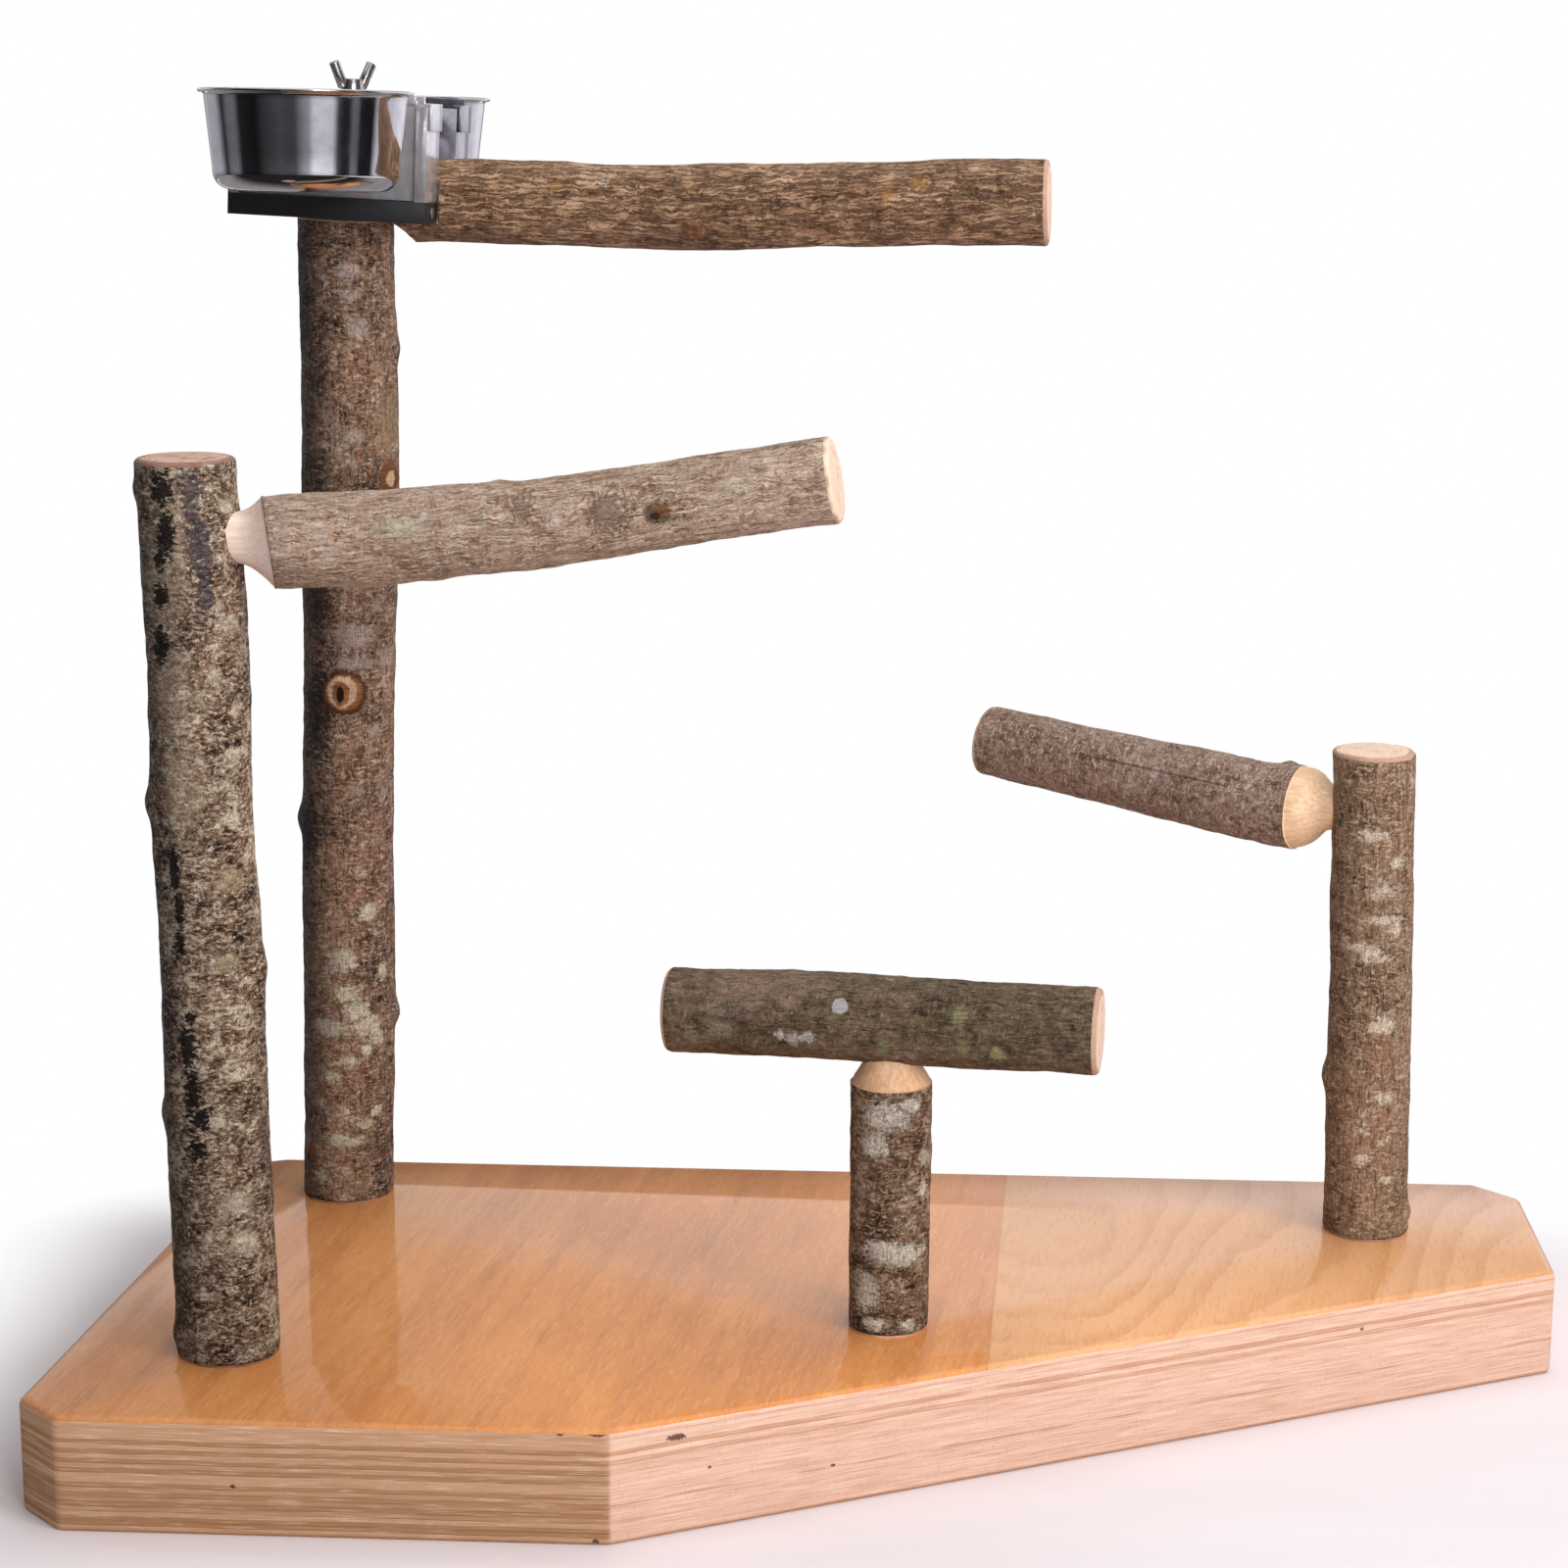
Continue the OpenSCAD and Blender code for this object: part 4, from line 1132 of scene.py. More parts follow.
post(
    "left_post",
    [(*LEFT_FOOT, FOOT_Z), (-255.6, -87.2, 150), (-255.8, -87.2, 231), (-257.9, -87.2, 300),
     (-257, -87.2, 363), (-259.7, -87.2, 430.4)],
    [21.4, 21.4, 21.2, 20.8, 20.6, 20.3],
    [(421, 180, 8, 1.6, "bump"), (291, 185, 9, 2.4, "bump"), (220, -8, 9, 2.0, "bump"),
     (157, 180, 9, 1.6, "bump"), (60, -160, 8, 1.6, "bump"), (372, -8, 7, 1.0, "bump")],
    11.3, left_bark, round_over=1.8, sawn=sawn_rose,
)

# %% [markdown]
# The right post is smoother and more olive, with level pale dashes. Soft steps between its tones and
# a little fibre give that calmer skin.

# %% Right post
RIGHT_PALE = [(219, -78, 6, 3.4), (205, -80, 8, 2.0), (201, -61, 3, 4), (192, -115, 8, 2.2),
              (190, -100, 6, 2.2), (155, -78, 6, 4), (187, -90, 7, 1.8), (245, -95, 8, 2.6), (232, -60, 4, 3),
              (120, -75, 4, 3), (90, -105, 4, 3), (80, -70, 3, 2.4)]

right_bark = bark_material(
    "bark_right", 19.0, 3,
    "4e3524 926b52 ba987e e0c6ae 8b6d52",
    {"Grain Size": 260.0, "Soft": 0.06, "Level Stretch": 1.4, "Crust Cover": 0.38, "Specks": 0.4,
     "Worms": 0.25, "Crack Stretch": 0.04, "Ring Cracks": 0.5, "Fibres And Sheen": 0.25},
    [("cbb29a", 110.0, 0.42, 0.6)],
    [("e8d3bd", 0.9, RIGHT_PALE), ("b9915f", 0.7, [(127, 173, 4, 12)])], start=FOOT_Z,
)
post(
    "right_post",
    [(*RIGHT_FOOT, FOOT_Z), (246.8, 95.2, 170), (243.6, 95, 279.2)],
    [20, 19.2, 18.7],
    [(126, 183, 9, 2.2, "bump"), (60, -18, 5, 1.4, "stub")],
    17.9, right_bark, round_over=1.8,
)

# %% [markdown]
# ## A turned neck
# Where a perch or the short post meets its neighbour, the bark ends in a small step, the peeled
# wood curves in, and a thin neck goes on into the socket. On a lathe it is turned down from the
# branch. Here it is made like the closed ends: the last ring is extruded again and again, each time a
# little smaller. A neck's shape lists, by share of its length, how much of its extra width is left.

# %% Necks
BARK_STEP, STEP_LIP, STEP_DEPTH = 0.7, 0.4, 0.25
NECK_RINGS = 15
HOLLOW_NECK = [(0.0, 1.0), (0.25, 0.64), (0.5, 0.34), (0.75, 0.12), (1.0, 0.0)]
DOMED_NECK = [(0.0, 1.0), (0.15, 0.97), (0.3, 0.88), (0.45, 0.72), (0.58, 0.5), (0.7, 0.24), (0.8, 0.06),
              (0.9, 0.0), (1.0, 0.0)]
SHOULDER_NECK = [(0.0, 1.0), (0.25, 0.84), (0.5, 0.6), (0.75, 0.38), (1.0, 0.2)]


def neck_steps(shape, bark_centre, bark_radius, end, hidden):
    """Rings of a neck from the bark's edge to its narrow end, and on into the socket."""
    shares = np.array(shape)
    bark_centre, end = Vector(bark_centre), Vector(end)
    axis = (end - bark_centre).normalized()
    wide, narrow = bark_radius - BARK_STEP * MM, NECK_R * MM
    first = bark_centre + axis * (STEP_DEPTH * MM)
    steps = [(0.0, wide + STEP_LIP * MM, first)]
    for t in np.linspace(0, 1, NECK_RINGS):
        share = float(along(shares[:, 0], shares[:, 1], np.array([t]))[0])
        steps.append((0.0, narrow + (wide - narrow) * share, first.lerp(end, t)))
    inside = end + axis * hidden
    return steps + [(0.0, narrow * share, inside) for share in (1.0, 0.6, 0.2)]


print("necks narrow to", 2 * NECK_R, "mm")

# %% [markdown]
# The short post is straight, with strong whitish patches on a dark skin, and its neck is a darker tan.

# %% Short post
SHORT_R, SHORT_BARK_TOP, SHORT_NECK_END = 17.4, 161.0, 170.5
SHORT_PALE = [(150, -99, 9, 6), (155, -60, 5, 3), (137, -113, 6, 5), (130, -32, 3, 3), (116, -34, 3, 4),
              (88, -78, 13, 4.5), (91, -100, 8, 3), (70, -126, 6, 9), (56, -110, 5, 3), (55, -60, 4, 2.5)]

short_bark = bark_material(
    "bark_short", SHORT_R, 4,
    "2a1a10 6b4b35 99785f cab39b 593f2c",
    {"Grain Size": 260.0, "Level Stretch": 2.0, "Crust Cover": 0.44, "Worms": 0.5, "Cracks": 0.5},
    [("221710", 60.0, 0.40, 0.6)],
    [("e0d5c5", 0.92, SHORT_PALE)], start=FOOT_Z,
)

short_ends = [(*SHORT_FOOT, FOOT_Z), (*SHORT_FOOT, SHORT_BARK_TOP)]
short_line = MiddleLine(short_ends, [SHORT_R - 0.1, SHORT_R], EAST)
neck_end = point(*SHORT_FOOT, SHORT_NECK_END)
short_neck = neck_steps(SHOULDER_NECK, short_line.centres[-1], SHORT_R * MM, neck_end, 5 * MM)
short_post = branch("short_post", short_line, (foot_steps((SHORT_R - 0.1) * MM), short_neck),
                    (short_bark, sawn_pale, peeled_tan), [(40, -60, 9, 0.6, "bump")], 23.1, UP, UP,
                    neck_end="end")
hand_over(short_post, "stand", "bark", "short_post")

# %% [markdown]
# ## The perches
# A perch lies on its side, so its angles are counted from its upper side: 90 degrees faces the front
# on the perches that run to the right. The left and right ones start with a peeled neck at their
# post, and their other ends are sawn. They are built as the posts are, from a middle line.


# %% Perches
NEAR_END_ROUND, FAR_END_ROUND = 1.5, 2.0


def perch(name, line, bark, knots, seed, neck=None, peeled=peeled_peach, start_direction=None):
    """A perch with a sawn far end, and a neck at its start or a second sawn end."""
    near = neck or sawn_steps(line.radii[0], NEAR_END_ROUND * MM)
    ends = near, sawn_steps(line.radii[-1], FAR_END_ROUND * MM)
    slope = SQUARE_CUT if start_direction is None else cut_slope(line, start_direction)
    obj = branch(name, line, ends, (bark, sawn_pale, peeled), knots, seed, start_direction,
                 neck_end="start" if neck else None, slope=slope)
    hand_over(obj, "stand", "bark", name)


def perch_neck(shape, line, socket, yaw, post_radius):
    """A neck from a perch's bark to just inside its post."""
    turn = math.radians(yaw)
    end = point(*socket) + Vector((math.cos(turn), math.sin(turn), 0)) * (post_radius * MM)
    return neck_steps(shape, line.centres[0], line.radii[0], end, 6 * MM)


print("perches: sawn ends rounded by", FAR_END_ROUND, "mm")

# %% [markdown]
# The left perch is pale, with fine fibres along it, strong here as a painted sheen for its satin look, and
# a small stub in its middle. Its bark was cut off a little aslant to the neck, so its first ring is turned.

# %% Left perch
left_line = MiddleLine(
    perch_points(LEFT_SOCKET, LEFT_YAW, [(32, -1.5), (50, -0.2), (75, 1.4), (100, 4.2), (144, 9), (188, 16.3),
                                         (233, 24.3), (261.2, 29.2)]),
    [18.8, 18.8, 18.7, 18.5, 17.6, 17.3, 16.8, 16.8], UP)
LEFT_CUT_TURN, LEFT_CUT_TILT = math.radians(13.0), 0.12
left_cut = np.array((math.cos(LEFT_CUT_TURN), math.sin(LEFT_CUT_TURN), LEFT_CUT_TILT))
left_perch_bark = bark_material(
    "bark_left_perch", 18.0, 5,
    "7a5a45 ba9882 dcc0ac f3dfd0 ab8f72",
    {"Grain Size": 430.0, "Soft": 0.045, "Level Stretch": 0.22, "Crust Cover": 0.34, "Specks": 0.3,
     "Worms": 0.1, "Pores": 0.2, "Cracks": 0.55, "Crack Stretch": 0.04, "Ring Cracks": 0.2,
     # strong fibres, partly painted sheen
     "Grooves": 0.3, "Fibres And Sheen": 0.6},
    [("ab9975", 45.0, 0.44, 0.4)],
    [("6e523c", 0.6, [(145, 80, 8, 8), (110, 60, 5, 5)]),
     ("e0cfb5", 0.8, [(197, 70, 4, 5), (60, 75, 4, 10)])],
    [("55392a", 0.7, [(164, 92, 4.4, 5.4)]), ("8d5633", 0.75, [(166, 90, 2.2, 2.8)]),
     ("2e2019", 0.8, [(163, 95, 1.6, 2.5)])],
    slope=cut_slope(left_line, left_cut),
)
perch(
    "left_perch", left_line, left_perch_bark,
    [(98, 5, 5, 1.2, "bump"), (70, 175, 8, 0.8, "bump"), (165, 92, 4.5, 0.9, "stub")], 29.4,
    perch_neck(HOLLOW_NECK, left_line, LEFT_SOCKET, LEFT_YAW, 20.5), peeled_cream,
    start_direction=left_cut,
)

# %% [markdown]
# The right perch is redder and rougher, and a dark line runs along its front. Its neck is a smooth
# dome of honey-coloured wood.

# %% Right perch
DARK_LINE = range(8, 165, 14)

right_perch_bark = bark_material(
    "bark_right_perch", 18.2, 6,
    "64463a 9c7d6b c3a897 dcc5b7 8f7360",
    {"Grain Size": 420.0, "Soft": 0.045, "Level Stretch": 0.7, "Crust Cover": 0.40, "Worms": 0.35,
     "Pores": 0.4, "Cracks": 0.5, "Crack Stretch": 0.2, "Ring Cracks": 0.6, "Fibres And Sheen": 0.2},
    [("a47a58", 40.0, 0.38, 0.4)],
    [],
    [("3b2c24", 0.6, [(station, -64, 0.7, 9) for station in DARK_LINE])],
)
right_line = MiddleLine(
    perch_points(RIGHT_SOCKET, RIGHT_YAW, [(36, -2.3), (56, -1.8), (80, 0.4), (130, 5), (198.2, 11.1)]),
    [19.6, 18.8, 18.6, 17.8, 17], UP)
perch(
    "right_perch", right_line, right_perch_bark, [(8, 20, 5, 2.0, "bump")], 31.7,
    perch_neck(DOMED_NECK, right_line, RIGHT_SOCKET, RIGHT_YAW, 18.5), peeled_peach,
)

# %% [markdown]
# The tee perch is a thick olive-grey branch across the short post's neck, sawn at both ends. A round
# grey lichen and a few smaller ones sit on its front.

# %% Tee perch
tee_bark = bark_material(
    "bark_tee", 18.6, 7,
    "38291c 715b46 967f69 aa9581 64553f",
    {"Grain Size": 320.0, "Soft": 0.055, "Level Stretch": 0.55, "Crust Cover": 0.32, "Specks": 0.3,
     "Worms": 0.15, "Pores": 0.2, "Crack Stretch": 0.05, "Ring Cracks": 0.3, "Grooves": 0.25,
     "Fibres And Sheen": 0.2},
    [("77704c", 40.0, 0.42, 0.35), ("a08a7a", 60.0, 0.40, 0.5), ("bfb4a2", 160.0, 0.32, 0.7)],
    [("c6c2b8", 0.85, [(64, 102, 2.3, 2.3), (57, 108, 3, 3), (51, 102, 2, 2), (60, 106, 1.6, 1.6)]),
     ("9a9872", 0.5, [(96, 112, 4, 3), (130, 104, 3, 3), (128, 66, 4, 3)]),
     ("c2b57c", 0.6, [(145, 112, 3, 3)]),
     ("a19a86", 0.5, [(24, 70, 4, 5), (24, 98, 4, 4), (12, 110, 6, 2.5)]),
     # The last mark is painted shade: a long, darker reddish band along the underside
     ("a08372", 0.6, [(40, 35, 12, 28)]), ("5d2f22", 0.5, [(90, 172, 9, 60)])],
    [("c9c6c6", 0.85, [(77, 60, 3.3, 3.3)])],
)
tee_line = MiddleLine(
    perch_points(TEE_SOCKET, TEE_YAW, [(-96.5, -2.1), (-50, -0.6), (0, 0), (45, 0.2), (87.4, 0.3)]),
    [18.3, 18.7, 18.8, 18.8, 18.8], UP)
tee_knots = [(56, 20, 7, 0.7, "bump"), (126, 80, 7, 0.6, "stub")]
perch("tee_perch", tee_line, tee_bark, tee_knots, 37.2)

# %% [markdown]
# ## Top perch
# The longest perch lies on top of the tall post. Its bark is furrowed along its length, so its relief
# is drawn out that way too, and it is as thick at one end as at the other.

# %% Top perch
TOP_R = 18.7
top_bark = bark_material(
    "bark_top_perch", TOP_R, 8,
    "563826 ad8565 d3ae8f e2c2a6 9d785a",
    {"Grain Size": 300.0, "Soft": 0.045, "Level Stretch": 0.25, "Crust Cover": 0.28, "Specks": 0.2,
     "Worms": 0.08, "Pores": 0.1, "Cracks": 0.45, "Crack Stretch": 0.05, "Ring Cracks": 0.3,
     "Grooves": 0.8, "Fibres And Sheen": 0.2},
    [("b8966d", 90.0, 0.38, 0.4)],
    [("bd874f", 0.6, [(122, 62, 2.4, 3), (285, 60, 4, 4), (270, 75, 3, 3)])],
    [("9a6a4a", 0.8, [(184, 118, 5, 5)]), ("d8a888", 0.9, [(184, 116, 1.6, 1.6)])],
)
top_points = [(-22, 8.3), (44, 7.9), (101, 7.2), (161, 6.1), (222, 8.1), (270, 9.5), (317.2, 10.45)]
top_line = MiddleLine(perch_points(ROD_FOOT, HOLDER_YAW, top_points), [TOP_R] * 7, UP)
TOP_RELIEF = [(45, 0.8, 1.6), (9, 0.6, 6.0), (4, 0.7, 7.0), (2.2, 0.3, 4.0)]

top_perch = branch("top_perch", top_line, (sawn_steps(TOP_R * MM, 1 * MM), sawn_steps(TOP_R * MM, 1.8 * MM)),
                   (top_bark, sawn_pale, peeled_cream), [(184, 118, 5, 3.2, "stub")], 41.9, relief=TOP_RELIEF)
print("top perch:", round(top_line.length / MM), "mm long")

# %% [markdown]
# Its end lies flat on the post, under the bowl holder: it is cut flat below, with a cove beside the
# post, and flat at the sides for the brackets. A seat for the washer and the rod's bore go down
# through it. Boolean modifiers cut all this with simple solids, as a saw, a gouge and a drill would.

# %% Cuts at the top perch's end
HOLDER_GAP = 32.0
LAP_X, NOTCH_X, PAST = 19, 46, 60
COVE_R, SEAT_R, ROD_BORE_R = 14, 12, 3.05
SEAT_Z = 8.1 + TOP_R - 1.4


def holder_box(name, low, high):
    """A box between two corners given in the holder's frame."""
    middle = [(a + b) / 2 for a, b in zip(low, high)]
    size = [(b - a) * MM for a, b in zip(low, high)]
    deselect()
    bpy.ops.mesh.primitive_cube_add(size=1, location=holder @ point(*middle), rotation=holder.to_euler())
    bpy.context.object.scale = size
    return named(name)


def holder_rod(name, centre, radius, depth, axis="Z", sides=48):
    """A round bar in the holder's frame, along one of its axes."""
    turn = Matrix.Rotation(math.pi / 2, 4, "X") if axis == "Y" else Matrix.Identity(4)
    deselect()
    bpy.ops.mesh.primitive_cylinder_add(
        vertices=sides, radius=radius * MM, depth=depth * MM,
        location=holder @ point(*centre), rotation=(holder @ turn).to_euler(),
    )
    return named(name)


def cut_away(obj, cutter):
    """Takes a cutter's shape out of a piece and deletes the cutter."""
    add_modifier(obj, "BOOLEAN", operation="DIFFERENCE", solver="EXACT", object=cutter)
    bpy.data.objects.remove(cutter)


cutters = [
    holder_box("cut_below", (-PAST, -40, -40), (LAP_X, 40, 0)),
    holder_rod("cut_cove", (LAP_X, 0, -COVE_R), COVE_R, 90, axis="Y"),
    holder_box("cut_front", (-PAST, -PAST, -PAST), (NOTCH_X, -HOLDER_GAP / 2, PAST)),
    holder_box("cut_back", (-PAST, HOLDER_GAP / 2, -PAST), (NOTCH_X, PAST, PAST)),
    holder_rod("cut_seat", (0, 0, SEAT_Z + 15), SEAT_R, 30),
    holder_rod("cut_bore", (0, 0, 10), ROD_BORE_R, 80, sides=32),
]
for cutter in cutters:
    cutter.data.materials.append(sawn_pale)
    cut_away(top_perch, cutter)
store_places(top_perch, straight_places(top_line, vertex_places(top_perch)))
hand_over(top_perch, "stand", "bark", "top_perch")

# %% [markdown]
# ## The board
# The board is 50 mm of beech plywood, sawn to its outline, with eased corners and bevelled edges. A
# cube of its full size is cut by the Bisect operator along each slanted edge, as a saw would, and
# then bevelled. Each post's bolt has a bore from below, with a pocket for its washer.

# %% Board
BOARD_X, BOARD_Y = 330.0, 162.5
OUTLINE = [(-330, -142.5), (-310, -162.5), (-84, -162.5), (328, 42.5), (330, 142.5), (310, 162.5),
           (-279, 162.5), (-299, 153.5)]
TOP_BEVEL, LOW_BEVEL, CORNER_EASE = 3.4, 2.0, 2.3
# Bores from below: (radius, low, high)
WASHER_POCKET, BOLT_BORE = (13, -1, 9), (4.05, 5, 60)
IN_LINE = 0.999
NEAR_FACE = 0.1 * MM

deselect()
bpy.ops.mesh.primitive_cube_add(size=1, location=point(0, 0, BOARD_THICK / 2))
bpy.context.object.scale = (2 * BOARD_X * MM, 2 * BOARD_Y * MM, BOARD_THICK * MM)
board = named("base_board_piece")
bpy.ops.object.mode_set(mode="EDIT")
for start, end in zip(OUTLINE, OUTLINE[1:] + OUTLINE[:1]):
    outwards = Vector((end[1] - start[1], start[0] - end[0], 0)).normalized()
    if max(abs(outwards.x), abs(outwards.y)) < IN_LINE:
        bpy.ops.mesh.select_all(action="SELECT")
        bpy.ops.mesh.bisect(plane_co=point(*start, 0), plane_no=outwards, use_fill=True, clear_outer=True)
select_edges(board, lambda edge: abs(edge.verts[0].co.z - edge.verts[1].co.z) > 0.5 * BOARD_THICK * MM)
bpy.ops.mesh.bevel(offset=CORNER_EASE * MM, segments=5)
select_edges(board, lambda edge: min(v.co.z for v in edge.verts) > BOARD_THICK * MM - NEAR_FACE)
bpy.ops.mesh.bevel(offset=TOP_BEVEL * MM, segments=3, profile=0.45)
select_edges(board, lambda edge: max(v.co.z for v in edge.verts) < NEAR_FACE)
bpy.ops.mesh.bevel(offset=LOW_BEVEL * MM, segments=3)
for foot in (TALL_FOOT, LEFT_FOOT, RIGHT_FOOT, SHORT_FOOT):
    for radius, low, high in (WASHER_POCKET, BOLT_BORE):
        deselect()
        bpy.ops.mesh.primitive_cylinder_add(vertices=48, radius=radius * MM, depth=(high - low) * MM,
                                            location=point(*foot, (low + high) / 2))
        cut_away(board, named("bore"))
smooth(board, 30)
print("board:", len(board.data.polygons), "faces")

# %% [markdown]
# The top is one sliced veneer under glossy varnish: fine dark dashes along the grain, and a paler
# leaf with wavy figure to the right of a joint. The waves are what is left after the point of a slow
# noise times a large number, like the height lines of a map. Varnish is the coat of the shader.

# %% Board top
GRAIN_TURN = math.radians(-8)
JOINT_X, JOINT_LEAN = 0.0735, 0.047
RIPPLES, LINES_OF_FIGURE = 0.5, 24.0


def board_top_material():
    """Varnished beech veneer."""
    material, tree, shader = new_material(
        "board_top", Specular_IOR_Level=0.2, Coat_Weight=0.8, Coat_Roughness=0.04, Coat_IOR=1.5
    )
    place = object_place(tree)
    turned = place_node(tree, "Mapping", {"Vector": place, "Rotation": (0.0, 0.0, -GRAIN_TURN)}).outputs[0]

    def grain(length, *noise_settings):
        """Noise along the grain; the smaller the length number, the longer its streaks."""
        return cloud(tree, vectors(tree, "MULTIPLY", turned, (1.0, length, 1.0)), *noise_settings)

    dashes = grain(0.14, 850.0, 2.0, 0.5)
    dark_dashes = remap(tree, dashes, 0.55, 0.68)
    pale_dashes = remap(tree, dashes, 0.34, 0.44, 1.0, 0.0)
    broad = grain(0.3, 13.0, 4.0, 0.6)
    streaks = grain(0.05, 110.0, 5.0, 0.65)
    flames = grain(0.16, 55.0, 4.0, 0.6)
    colour = mix(tree, remap(tree, broad, 0.35, 0.65), "d6894a", "e59b5b")
    colour = mix(tree, remap(tree, streaks, 0.42, 0.66, 0.0, 0.4), colour, "bd7440")
    colour = mix(tree, remap(tree, flames, 0.56, 0.72, 0.0, 0.4), colour, "a46a43")
    parts = parts_of(tree, place)
    beyond = minus(tree, parts[0], times_plus(tree, parts[1], JOINT_LEAN, JOINT_X))
    right_leaf = remap(tree, beyond, -0.0003, 0.0003)
    figure = vectors(tree, "MULTIPLY", place, (1.0, 0.45, 1.0))
    swirl = cloud(tree, figure, 5.0, 1.0, 0.4)
    ripple = cloud(tree, figure, 60.0, 2.0, 0.5)
    waves = times_plus(tree, ripple, RIPPLES, times(tree, swirl, LINES_OF_FIGURE))
    waves = maths(tree, "FRACT", waves)
    waves = times(tree, remap(tree, waves, 0.35, 0.92), remap(tree, waves, 1.0, 0.93))
    leaf = mix(tree, times(tree, waves, remap(tree, broad, 0.35, 0.6, 0.12, 0.5)), "e5ab7a", "c98a52")
    colour = mix(tree, times(tree, right_leaf, 0.85), colour, leaf)
    seam = times(tree, remap(tree, maths(tree, "ABSOLUTE", beyond), 0.0, 0.0009, 1.0, 0.0), 0.3)
    colour = mix(tree, seam, colour, "a56f43")
    colour = mix(tree, times(tree, dark_dashes, 0.2), colour, "a56a3e")
    colour = mix(tree, times(tree, pale_dashes, 0.25), colour, "e3b58c")
    # Painted shade: the top darkens towards its left end and towards its right end
    painted_end_shade = remap(tree, parts[0], -0.25, -0.06, 0.79, 1.0)
    colour = darken(tree, colour, times(tree, painted_end_shade, remap(tree, parts[0], 0.19, 0.28, 1.0, 0.85)))
    surface(tree, shader, colour, remap(tree, broad, 0.3, 0.7, 0.36, 0.46),
            times_plus(tree, dark_dashes, -0.5, streaks), 0.00004)
    return material


top_varnish = board_top_material()
print(top_varnish.name, "has", len(top_varnish.node_tree.nodes), "nodes")

# %% [markdown]
# The edges show the plies: thin layers that alternate between long grain and end grain. A ply's
# number is its height divided by its thickness, and white noise gives each number a tone of its own.
# They are clear all the way down on most edges, but near the top only on the slanted one. The dark
# voids are small gaps in the inner plies.

# %% Board edge
PLY = 2.1 * MM
PLY_WOBBLE = 2.0 * MM
GLUE_LINE_Z, RIM_LINE_Z, LINE_HALF = 18.0 * MM, 46.2 * MM, 0.6 * MM
# Voids in the edge: (x, y, z, half width, half height)
EDGE_VOIDS = [(-103, -161.5, 48.3, 1.6, 0.9), (-88, -161.2, 48.2, 3.2, 0.9), (-237, -162.5, 22, 1.1, 0.9),
              (-57, -149.1, 42.3, 4.4, 1.2), (-44, -142.7, 26.8, 0.8, 0.6), (5.6, -117.9, 17.9, 1.3, 0.6),
              (237, -2.7, 37.9, 1.0, 0.7), (-89, -162.5, 2, 1.6, 0.8)]


def level_line(tree, height, level, strength):
    """A thin line all round at one height."""
    away = maths(tree, "ABSOLUTE", minus(tree, height, level))
    return remap(tree, away, 0.0, LINE_HALF, strength, 0.0)


